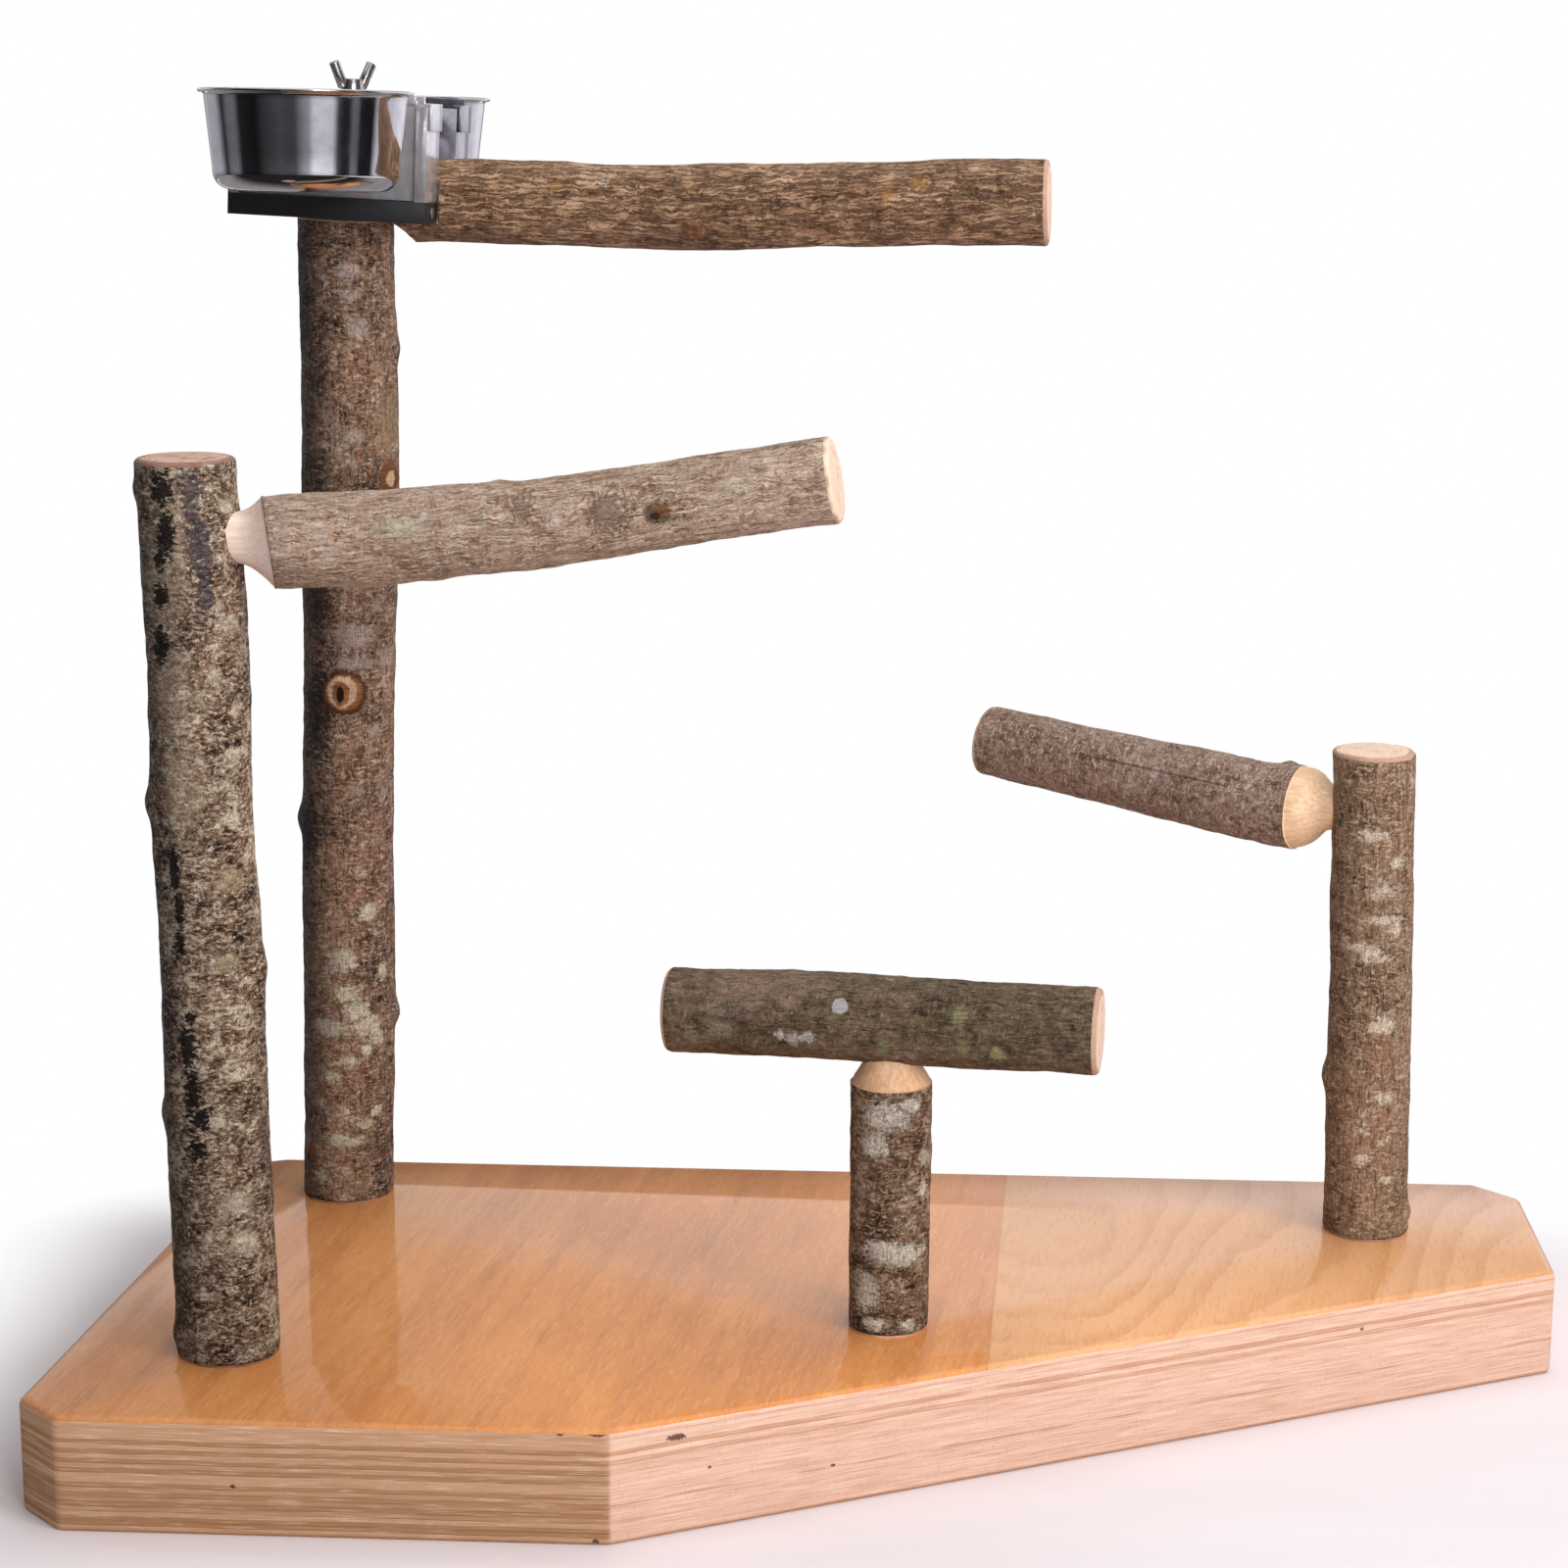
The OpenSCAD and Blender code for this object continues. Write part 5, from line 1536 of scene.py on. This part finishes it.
def board_edge_material():
    """Plywood edge: plies by height, streaked along the edge, with a few dark voids."""
    material, tree, shader = new_material("board_edge", Specular_IOR_Level=0.25)
    place = object_place(tree)
    parts = parts_of(tree, place)
    wobble = cloud(tree, stretched(tree, place, 1.0, 0.3), 9.0, 3.0)
    height = times_plus(tree, wobble, PLY_WOBBLE, parts[2])
    ply = maths(tree, "DIVIDE", height, PLY)
    ply_number = maths(tree, "FLOOR", ply)
    inside = maths(tree, "FRACT", ply)
    tone = place_node(tree, "TexWhiteNoise", {"W": ply_number}, noise_dimensions="1D").outputs["Value"]
    fibres = cloud(tree, stretched(tree, place, 0.035, 1.0), 1400.0, 3.0, 0.6)
    streaks = cloud(tree, stretched(tree, place, 0.07, 1.0), 420.0, 3.0, 0.6)
    ticks = cloud(tree, stretched(tree, place, 1.0, 0.35), 900.0, 2.0, 0.6)
    normal = place_node(tree, "NewGeometry", {}).outputs["Normal"]
    # The slanted face, which faces the key lamp, gets paler tones: partly its own grain, partly painted light
    slanted = remap(tree, parts_of(tree, normal)[0], 0.2, 0.4)
    upper = remap(tree, parts[2], 0.030, 0.038, 0.15, 1.0)
    banded = larger(tree, minus(tree, 1.0, slanted), upper)
    pale = mix(tree, slanted, "be9576", "dbb4a0")
    deep = mix(tree, slanted, "a37855", "c6957a")
    colour = mix(tree, times(tree, remap(tree, tone, 0.35, 0.75), banded), pale, deep)
    colour = mix(tree, remap(tree, streaks, 0.48, 0.68, 0.0, 0.35), colour, deep)
    colour = mix(tree, remap(tree, fibres, 0.50, 0.64, 0.0, 0.30), colour, "a5774f")
    colour = mix(tree, remap(tree, fibres, 0.36, 0.46, 0.28, 0.0), colour, "f3d8c0")
    colour = mix(tree, remap(tree, ticks, 0.55, 0.68, 0.0, 0.16), colour, "a8754c")
    lined = times(tree, remap(tree, inside, 0.0, 0.16, 1.0, 0.0), remap(tree, tone, 0.45, 0.5))
    lined = times(tree, times(tree, lined, banded), remap(tree, streaks, 0.38, 0.55))
    low_line = times(tree, level_line(tree, height, GLUE_LINE_Z, 1.0), slanted)
    lined = larger(tree, lined, times(tree, low_line, remap(tree, streaks, 0.4, 0.55)))
    colour = mix(tree, times(tree, lined, 0.5), colour, "8c5c3a")
    foot = remap(tree, parts[2], 0.0012, 0.0026, 1.0, 0.0)
    rim = larger(tree, foot, level_line(tree, parts[2], RIM_LINE_Z, 0.7))
    colour = mix(tree, times(tree, rim, 0.6), colour, "b47747")
    fray = times_plus(tree, cloud(tree, place, 900.0, 3.0, 0.6), 0.3, 0.35)
    for x, y, z, half_width, half_height in EDGE_VOIDS:
        hole = use_group(tree, mark_recipe, {"Place": place, "Ragged": fray, "Centre": point(x, y, z),
                                             "Reach": point(half_width, half_width, half_height)})
        colour = mix(tree, times(tree, hole["Mask"], 0.85), colour, "3a1d12")
    surface(tree, shader, colour, remap(tree, fibres, 0.3, 0.7, 0.5, 0.62),
            times_plus(tree, lined, -1.0, fibres), 0.00015)
    return material


board.data.materials.clear()
board.data.materials.append(board_edge_material())
board.data.materials.append(top_varnish)
for face in board.data.polygons:
    on_top = face.center.z > (BOARD_THICK - 4) * MM
    face.material_index = 1 if face.normal.z > 0.6 and on_top else 0
hand_over(board, "stand", "plywood", "base_board")

# %% [markdown]
# ## Metal finishes
# Polished steel is nearly a mirror: its look comes from what it reflects. Faint wiping marks and a
# slight unevenness in roughness keep it from looking like a computer's chrome. All the metals share
# that, so it is a group.

# %% Metal wear recipe
wear_recipe, given, out = new_group(
    "metal wear recipe", {"Place": (0.0, 0.0, 0.0), "Smooth": 0.08, "Rough": 0.2},
    {"Roughness": "Float", "Height": "Float"},
)
SMUDGE_SIZE, SCRATCH_SIZE = 45.0, 1600.0

tree = wear_recipe
smudge = cloud(tree, given["Place"], SMUDGE_SIZE, 4.0, 0.6)
scratch = cloud(tree, stretched(tree, given["Place"], 1.0, 0.05), SCRATCH_SIZE, 2.0, 0.5)
blend = times_plus(tree, scratch, 0.3, times(tree, smudge, 0.7))
ends = {"From Min": 0.35, "From Max": 0.65, "To Min": given["Smooth"], "To Max": given["Rough"]}
plug(tree, out["Roughness"], place_node(tree, "MapRange", {"Value": blend, **ends}).outputs[0])
plug(tree, out["Height"], scratch)
print("metal wear recipe:", len(tree.nodes), "nodes")

# %% [markdown]
# The bowls are polished, their plates and brackets satin. The rear sheets get a darker copy of the
# steel as painted shade, for the bowls' shade they stand in. The fasteners are zinc, the wing nut is
# nickel, and the rails are satin black, with fine dust.


# %% Metal materials
def metal_material(name, light, dark, smooth, rough, bump_depth, metallic=1.0):
    """A metal with wiping marks: its colour varies slightly between two tones."""
    material, tree, shader = new_material(name, Metallic=metallic)
    place = object_place(tree)
    wear = use_group(tree, wear_recipe, {"Place": place, "Smooth": smooth, "Rough": rough})
    tarnish = cloud(tree, place, 160.0, 4.0, 0.6)
    colour = mix(tree, remap(tree, tarnish, 0.4, 0.7), light, dark)
    surface(tree, shader, colour, wear["Roughness"], wear["Height"], bump_depth)
    return material


def black_rail_material():
    """Satin black rail with fine dust."""
    material, tree, shader = new_material("black_rail", Specular_IOR_Level=0.5)
    place = object_place(tree)
    dust = cloud(tree, place, 700.0, 4.0, 0.7)
    colour = mix(tree, remap(tree, dust, 0.58, 0.75, 0.0, 0.5), "1d1d22", "4a4a50")
    surface(tree, shader, colour, remap(tree, dust, 0.3, 0.7, 0.35, 0.55), dust, 0.00008)
    return material


bowl_steel = metal_material("bowl_steel", "d6d4d8", "c9c7cb", 0.05, 0.12, 0.000004)
sheet_steel = metal_material("sheet_steel", "dad7dc", "c8c5cb", 0.16, 0.28, 0.000002, metallic=0.75)
# painted shade: a darker copy of the sheet steel, for the rear sheets
shaded_steel = metal_material("shaded_steel", "a8a4ae", "928e99", 0.12, 0.24, 0.000002)
zinc_plate = metal_material("zinc_plate", "b9bcc2", "8f9297", 0.25, 0.4, 0.00002)
nickel_plate = metal_material("nickel_plate", "d2cdc8", "9c9791", 0.16, 0.3, 0.00003)
rail_black = black_rail_material()
print("materials so far:", len(bpy.data.materials))

# %% [markdown]
# ## The bowls
# Each bowl is formed from steel sheet, with a rolled rim. Its half section is one line: out along the
# floor, up the wall, round the rim and back down inside. Arcs round its corners.

# %% Bowl outline
RIM_R, BOWL_TOP_R, BOWL_FOOT_R, BOWL_H, BOWL_WALL = 46.0, 43.4, 40.0, 42.5, 1.0
BOWL_CORNER = 8.0
BRACKET_FACE, BOWL_REACH, BOWL_SHIFT, BOWL_LEAN = 40.0, 44.5, 2.5, 0.6
RIM_Z, TRIM_GAP = 55.5, 0.3


def holder_half(side):
    """The holder's frame for its front or rear half: Y points away from the perch."""
    return holder @ Matrix.Rotation(math.pi if side == "front" else 0.0, 4, "Z")


def arc(centre_x, centre_y, radius, start, end, count):
    """Points of an arc, with angles in degrees."""
    turns = [math.radians(start + (end - start) * i / count) for i in range(count + 1)]
    return [(centre_x + radius * math.cos(turn), centre_y + radius * math.sin(turn)) for turn in turns]


def bowl_outline():
    """Half section of a bowl in mm: outside from the middle of the floor up, rim, inside and back."""
    inner_r = BOWL_TOP_R - BOWL_WALL
    corner = (BOWL_FOOT_R - BOWL_CORNER, BOWL_CORNER)
    floor = [(0, 0), (12, 0), (24, 0)] + arc(*corner, BOWL_CORNER, -90, 5, 10)
    flank = BOWL_TOP_R - BOWL_FOOT_R
    wall = [(BOWL_FOOT_R + flank * t, 9 + (BOWL_H - 12) * t) for t in (0.25, 0.5, 0.75, 0.94)]
    flare = arc(BOWL_TOP_R + 1.2, BOWL_H - 2.9, 1.2, 180, 90, 4)
    rim = arc(RIM_R - 0.85, BOWL_H - 0.85, 0.85, -90, 90, 8)
    lip = [(44.5, BOWL_H + 0.0)] + arc(inner_r + 1.0, BOWL_H - 1.0, 1.0, 90, 180, 5)
    inside = [(inner_r - 0.8, BOWL_H - 12), (inner_r - 1.7, BOWL_H - 22)]
    inner_floor = arc(*corner, BOWL_CORNER - BOWL_WALL, 5, -90, 10) + [(x, BOWL_WALL) for x in (24, 12, 0)]
    return floor + wall + flare + rim + lip + inside + inner_floor


print("bowl outline:", len(bowl_outline()), "points")

# %% [markdown]
# The outline is drawn by extruding one vertex again and again, and the Spin operator turns it round
# the axis, as a bowl is spun on a lathe. The steps are many, because a mirror shows every facet.


# %% Spinning
def spun(name, outline, frame_matrix, steps=128):
    """A half outline in mm, drawn edge by edge and spun once round the Z axis of a frame."""
    deselect()
    bpy.ops.mesh.primitive_plane_add(size=1 * MM, location=(0, 0, 0))
    obj = bpy.context.object
    bpy.ops.object.mode_set(mode="EDIT")
    bpy.ops.mesh.select_mode(type="VERT")
    bpy.ops.mesh.select_all(action="SELECT")
    bpy.ops.mesh.merge(type="CENTER")
    bpy.ops.transform.translate(value=(outline[0][0] * MM, 0, outline[0][1] * MM))
    for before, after in zip(outline, outline[1:]):
        shift = ((after[0] - before[0]) * MM, 0, (after[1] - before[1]) * MM)
        bpy.ops.mesh.extrude_vertices_move(TRANSFORM_OT_translate={"value": shift})
    bpy.ops.mesh.select_all(action="SELECT")
    bpy.ops.mesh.spin(steps=steps, angle=2 * math.pi, center=(0, 0, 0), axis=(0, 0, 1))
    bpy.ops.mesh.select_all(action="SELECT")
    bpy.ops.mesh.remove_doubles(threshold=0.00001)
    bpy.ops.mesh.normals_make_consistent(inside=False)
    bpy.ops.object.mode_set(mode="OBJECT")
    obj.matrix_world = frame_matrix
    return named(name)


print("a spun piece starts and ends on its axis")

# %% [markdown]
# Each bowl stands level on the back plate that hangs it, though the holder leans. The CAD bowl is
# trimmed flat where it meets that plate, so this one is bisected there too.


# %% Bowls
def bowl(side):
    """One bowl, level on its plate, with its rim trimmed at the plate."""
    half = holder_half(side)
    lean = (1 if side == "front" else -1) * (HOLDER_LEAN - BOWL_LEAN)
    stand_at = (
        half
        @ Matrix.Translation(point(-BOWL_SHIFT, BRACKET_FACE + BOWL_REACH, RIM_Z))
        @ Matrix.Rotation(math.radians(lean), 4, "Y")
        @ Matrix.Translation(point(0, 0, -BOWL_H))
    )
    obj = spun(f"{side}_bowl_piece", bowl_outline(), stand_at)
    bpy.ops.object.mode_set(mode="EDIT")
    bpy.ops.mesh.select_all(action="SELECT")
    bpy.ops.mesh.bisect(plane_co=half @ point(0, BRACKET_FACE + TRIM_GAP, 0),
                        plane_no=half.to_3x3() @ Vector((0, -1, 0)), use_fill=True, clear_outer=True)
    smooth(obj, 40)
    obj.data.materials.append(bowl_steel)
    hand_over(obj, f"{side}_bowl", "bowl_steel", f"{side}_bowl")


for side in ("front", "rear"):
    bowl(side)

# %% [markdown]
# ## Brackets, plates and fasteners
# The folded brackets, the plates with their hooked ears, the rails, the bridge and the fasteners
# keep the CAD model's shapes. A copy of each is merged and its edges are rounded by a Bevel, so
# that they catch the light as real edges do. The number beside each is how wide, in mm.


# %% Rounded copies
def rounded_edges(obj, width, segments):
    """Rounds a solid's sharp edges; width in mm."""
    add_modifier(obj, "BEVEL", width=width * MM, segments=segments, angle_limit=math.radians(30),
                 limit_method="ANGLE", use_clamp_overlap=True)


def rounded_copy(node, body, slot, material, width):
    """A copy of a CAD node with its vertices merged, flat faces joined and edges rounded."""
    deselect()
    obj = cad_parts[node].copy()
    obj.data = obj.data.copy()
    bpy.context.collection.objects.link(obj)
    obj.name = f"{node}_piece"
    obj.data.name = obj.name
    obj.parent = None
    for key in list(obj.keys()):
        del obj[key]
    take(obj)
    bpy.ops.object.mode_set(mode="EDIT")
    bpy.ops.mesh.select_all(action="SELECT")
    bpy.ops.mesh.remove_doubles(threshold=0.000005)
    bpy.ops.mesh.dissolve_limited(angle_limit=math.radians(1))
    bpy.ops.mesh.normals_make_consistent(inside=False)
    bpy.ops.object.mode_set(mode="OBJECT")
    rounded_edges(obj, width, segments=2)
    smooth(obj, 40)
    obj.data.materials.clear()
    obj.data.materials.append(material)
    hand_over(obj, body, slot, node)


for side in ("front", "rear"):
    # the rear pieces take the darker steel with painted shade
    steel = sheet_steel if side == "front" else shaded_steel
    rounded_copy(f"{side}_bracket", "stand", "bracket_steel", steel, 0.3)
    rounded_copy(f"{side}_rail", "stand", "black_rail", rail_black, 0.5)
    rounded_copy(f"{side}_bowl_plate", f"{side}_bowl", "plate_steel", steel, 0.3)
for node in ("holder_bridge", "bridge_rivets"):
    rounded_copy(node, "stand", "bracket_steel", sheet_steel, 0.3)
FASTENERS = {"rod_washer": 0.2, "perch_washer": 0.2, "perch_nut": 0.3, "rail_screws": 0.3, "post_bolts": 0.4,
             "post_washers": 0.2, "perch_screws": 0.1, "threaded_rod": 0.3}
for node, width in FASTENERS.items():
    rounded_copy(node, "stand", "zinc_fasteners", zinc_plate, width)

# %% [markdown]
# The wing nut is a low round hub with two prongs like short bars, which lean out and up. On the real
# stand it is cast in one piece. Here a cone and two cylinders with bevelled ends are joined by a
# Boolean union, and the bore is taken out last.

# %% Wing nut
NUT_SEAT_Z, NUT_TURN = 55.0, 40.0
HUB_R, HUB_TOP_R, HUB_H = 5.6, 4.8, 7.0
PRONG_ROOT, PRONG_TIP, PRONG_R = (4.4, 3.2), (9.3, 14.1), 2.4
NUT_EDGE, NUT_BORE_R = 0.5, 3.08

nut_frame = (
    holder @ Matrix.Translation(point(0, 0, NUT_SEAT_Z)) @ Matrix.Rotation(math.radians(NUT_TURN), 4, "Z")
)


def prong(turn):
    """One wing of the nut: a round bar between its root in the hub and its tip."""
    (root_x, root_z), (tip_x, tip_z) = PRONG_ROOT, PRONG_TIP
    across, up = tip_x - root_x, tip_z - root_z
    middle = point((root_x + tip_x) / 2, 0, (root_z + tip_z) / 2)
    stand_at = (
        nut_frame
        @ Matrix.Rotation(math.radians(turn), 4, "Z")
        @ Matrix.Translation(middle)
        @ Matrix.Rotation(math.atan2(across, up), 4, "Y")
    )
    deselect()
    bpy.ops.mesh.primitive_cylinder_add(vertices=48, radius=PRONG_R * MM, depth=math.hypot(across, up) * MM,
                                        location=stand_at.translation, rotation=stand_at.to_euler())
    bar = named("prong")
    rounded_edges(bar, NUT_EDGE, segments=3)
    return bar


deselect()
bpy.ops.mesh.primitive_cone_add(vertices=64, radius1=HUB_R * MM, radius2=HUB_TOP_R * MM, depth=HUB_H * MM,
                                location=nut_frame @ point(0, 0, HUB_H / 2), rotation=nut_frame.to_euler())
wing_nut = named("wing_nut_piece")
rounded_edges(wing_nut, NUT_EDGE, segments=3)
for turn in (0, 180):
    bar = prong(turn)
    add_modifier(wing_nut, "BOOLEAN", operation="UNION", solver="EXACT", object=bar)
    bpy.data.objects.remove(bar)
cut_away(wing_nut, holder_rod("cut_nut_bore", (0, 0, NUT_SEAT_Z + HUB_H / 2), NUT_BORE_R, 2 * HUB_H))
smooth(wing_nut, 40)
wing_nut.data.materials.clear()
wing_nut.data.materials.append(nickel_plate)
hand_over(wing_nut, "wing_nut", "nickel_nut", "wing_nut")

# %% [markdown]
# ## Studio
# The stand is shown on a pale floor that fades into a white background, so that only the floor near
# the board takes a shadow. The camera and reflections see plain white all round. The soft light that
# falls on the wood from there is weaker, and stronger from the right than from the left.


# %% Floor and world
WHITE = (1.0, 1.0, 1.0, 1.0)
FADE_START, FADE_END = 0.012, 0.11
FLOOR_SIZE = 14.0
LEFT_FILL, RIGHT_FILL = 0.30, 0.50


def seen_directly(tree):
    """1 for what the camera sees, also by way of a mirror or glass, and 0 for light on a dull surface."""
    rays = tree.nodes.new("ShaderNodeLightPath").outputs
    seen = larger(tree, rays["Is Camera Ray"], rays["Is Glossy Ray"])
    return larger(tree, seen, rays["Is Transmission Ray"])


def glow(tree, colour, strength=1.0):
    """Light of a colour as a material's whole surface."""
    node = place_node(tree, "Emission", {"Color": colour, "Strength": strength})
    tree.links.new(node.outputs[0], tree.nodes["Material Output"].inputs["Surface"])


def floor_material():
    """Pale near the stand, where it shows the shadow, and fading to plain white further off."""
    material, tree, shader = new_material("floor", Roughness=0.7, Specular_IOR_Level=0.2)
    place = object_place(tree)
    grain = cloud(tree, vectors(tree, "MULTIPLY", place, (0.3, 2.0, 1.0)), 12.0, 4.0, 0.6)
    colour = mix(tree, grain, "e9e1e4", "e2d9dc")
    rays = tree.nodes.new("ShaderNodeLightPath").outputs
    colour = mix(tree, times(tree, rays["Is Diffuse Ray"], 0.2), colour, BLACK)
    plug(tree, shader.inputs["Base Color"], colour)
    beside = vectors(tree, "SUBTRACT", vectors(tree, "ABSOLUTE", place), point(BOARD_X, BOARD_Y, 0))
    beside = vectors(tree, "MAXIMUM", beside)
    distance = place_node(tree, "VectorMath", {0: beside}, operation="LENGTH").outputs["Value"]
    fade = remap(tree, distance, FADE_START, FADE_END)
    white = tree.nodes.new("ShaderNodeEmission")
    factor = times(tree, fade, seen_directly(tree))
    join = place_node(tree, "MixShader", {0: factor, 1: shader.outputs[0], 2: white.outputs[0]})
    tree.links.new(join.outputs[0], tree.nodes["Material Output"].inputs["Surface"])
    return material


deselect()
bpy.ops.mesh.primitive_plane_add(size=FLOOR_SIZE, location=(0, 0, 0))
floor = named("floor")
floor.data.materials.append(floor_material())

world = bpy.context.scene.world or bpy.data.worlds.new("studio")
bpy.context.scene.world = world
world.use_nodes = True
sky = world.node_tree
direction = sky.nodes.new("ShaderNodeTexCoord").outputs["Generated"]
sideways = parts_of(sky, direction)[0]
fill = grey(sky, remap(sky, sideways, -0.9, 0.9, LEFT_FILL, RIGHT_FILL))
plug(sky, sky.nodes["Background"].inputs["Color"], mix(sky, seen_directly(sky), fill, WHITE))
print("floor:", FLOOR_SIZE, "m wide; world:", len(sky.nodes), "nodes")

# %% [markdown]
# Three square lamps give soft light: a key lamp from the right front, a weaker one nearer to the
# camera and one overhead. The key and the top lamp are kept out of reflections, so that the varnish and the
# steel don't show them as hard white squares.


# %% Lamps
def area_lamp(name, place, aim, size, power, glossy=True):
    """A square soft light that looks at a point."""
    turn = (Vector(aim) - Vector(place)).to_track_quat("-Z", "Y").to_euler()
    deselect()
    bpy.ops.object.light_add(type="AREA", location=place, rotation=turn)
    lamp = bpy.context.object
    lamp.name = name
    lamp.data.shape = "SQUARE"
    lamp.data.size = size
    lamp.data.energy = power
    lamp.visible_glossy = glossy


area_lamp("key_lamp", (1.7, -1.35, 1.5), (0.0, 0.0, 0.25), 0.9, 32.0, glossy=False)
area_lamp("front_lamp", (0.75, -1.85, 0.85), (0.0, 0.0, 0.25), 0.7, 19.0)
area_lamp("top_lamp", (0.35, 0.35, 2.0), (0.0, 0.0, 0.0), 1.4, 16.0, glossy=False)

# %% [markdown]
# Steel needs something to reflect. In a studio, dark cloths and pale screens stand round the camera.
# Here they are bands of light and dark on the inside of one wide upright cylinder round the bowls,
# which only reflections see. A colour ramp over the angle gives the bands, and a slow noise makes them
# uneven, as cloth is.

# %% Surround for the steel
SURROUND_R, SURROUND_H, SURROUND_FOOT = 2.2, 2.8, -0.2
SURROUND_X, SURROUND_Y = -228, 117
TOWARDS_CAMERA = math.atan2(CAMERA_PLACE[1] - SURROUND_Y, CAMERA_PLACE[0] - SURROUND_X)
CLOTH_TINT = (0.97, 0.96, 1.04)
# Brightness by angle to the right of the camera's side, in degrees
SURROUND_STOPS = [
    (-180, 0.10), (-170, 0.12), (-162, 0.45), (-122, 0.4), (-108, 0.02), (-100, 0.16), (-88, 0.2),
    (-80, 0.02), (-58, 0.012), (-48, 0.05), (-30, 0.10), (-12, 0.09), (-4, 0.32), (3, 0.45), (8, 1.0),
    (30, 1.0), (36, 0.10), (42, 0.02), (50, 0.02), (54, 0.22), (60, 0.2), (64, 0.015), (82, 0.012),
    (90, 0.85), (156, 0.9), (166, 0.12), (180, 0.10)]


def glossy_only(obj):
    """Keeps a studio surface out of everything but reflections."""
    obj.visible_camera = False
    obj.visible_diffuse = False
    obj.visible_shadow = False
    obj.visible_transmission = False


def surround_material():
    """Dark and pale upright bands that blend into each other, as cloths and screens round a camera do."""
    material, tree, shader = new_material("surround")
    parts = parts_of(tree, object_place(tree))
    east = minus(tree, parts[0], SURROUND_X * MM)
    north = minus(tree, parts[1], SURROUND_Y * MM)
    ahead_x, ahead_y = math.cos(TOWARDS_CAMERA), math.sin(TOWARDS_CAMERA)
    ahead = times_plus(tree, east, ahead_x, times(tree, north, ahead_y))
    sideways = times_plus(tree, east, -ahead_y, times(tree, north, ahead_x))
    turn = maths(tree, "ARCTAN2", sideways, ahead)
    share = times_plus(tree, turn, 1 / (2 * math.pi), 0.5)
    ramp = place_node(tree, "ValToRGB", {0: share})
    stops = ramp.color_ramp.elements
    for stop, (angle, shade) in zip(stops, (SURROUND_STOPS[0], SURROUND_STOPS[-1])):
        stop.position = angle / 360 + 0.5
        stop.color = (shade, shade, shade, 1.0)
    for angle, shade in SURROUND_STOPS[1:-1]:
        stops.new(angle / 360 + 0.5).color = (*(shade * tint for tint in CLOTH_TINT), 1.0)
    cloth = cloud(tree, object_place(tree), 1.5, 3.0)
    dim = times(tree, remap(tree, cloth, 0.3, 0.7, 0.9, 1.15), remap(tree, parts[2], -0.1, 0.5, 0.4, 1.1))
    behind = times(tree, remap(tree, maths(tree, "ABSOLUTE", turn), 1.9, 2.3),
                   remap(tree, parts[2], 0.62, 0.72))
    pale = grey(tree, remap(tree, parts[2], 0.80, 1.25, 0.95, 0.5))
    glow(tree, mix(tree, behind, ramp.outputs[0], pale), dim)
    return material


deselect()
bpy.ops.mesh.primitive_cylinder_add(
    vertices=96, radius=SURROUND_R, depth=SURROUND_H, end_fill_type="NOTHING",
    location=(SURROUND_X * MM, SURROUND_Y * MM, SURROUND_H / 2 + SURROUND_FOOT),
)
surround = named("surround")
surround.data.materials.append(surround_material())
glossy_only(surround)
print("surround:", len(SURROUND_STOPS), "stops round", SURROUND_R, "m")

# %% [markdown]
# The bowls' walls would mirror the white floor and look too bright. A dark cloth lies just above it,
# which also only reflections see. It is paler towards the back.

# %% Dark floor
CLOTH_PLACE, CLOTH_SIZE = (-0.6, -0.5, 0.004), (3.8, 4.2, 1)
CLOTH_FRONT, CLOTH_BACK = -0.25, 0.45

deselect()
bpy.ops.mesh.primitive_plane_add(size=1, location=CLOTH_PLACE)
bpy.context.object.scale = CLOTH_SIZE
dark_floor = named("dark_floor")
dark_cloth, tree, _ = new_material("dark_cloth")
backwards = parts_of(tree, object_place(tree))[1]
behind = remap(tree, backwards, CLOTH_FRONT, CLOTH_BACK)
glow(tree, mix(tree, behind, "2a2728", "a09c9d"))
dark_floor.data.materials.append(dark_cloth)
glossy_only(dark_floor)
print("dark floor:", tuple(round(size, 2) for size in dark_floor.dimensions[:2]), "m")

# %% [markdown]
# ## Finish
# The Standard view keeps white as white and colours as they were given.

# %% Finish
bpy.context.scene.view_settings.view_transform = "Standard"
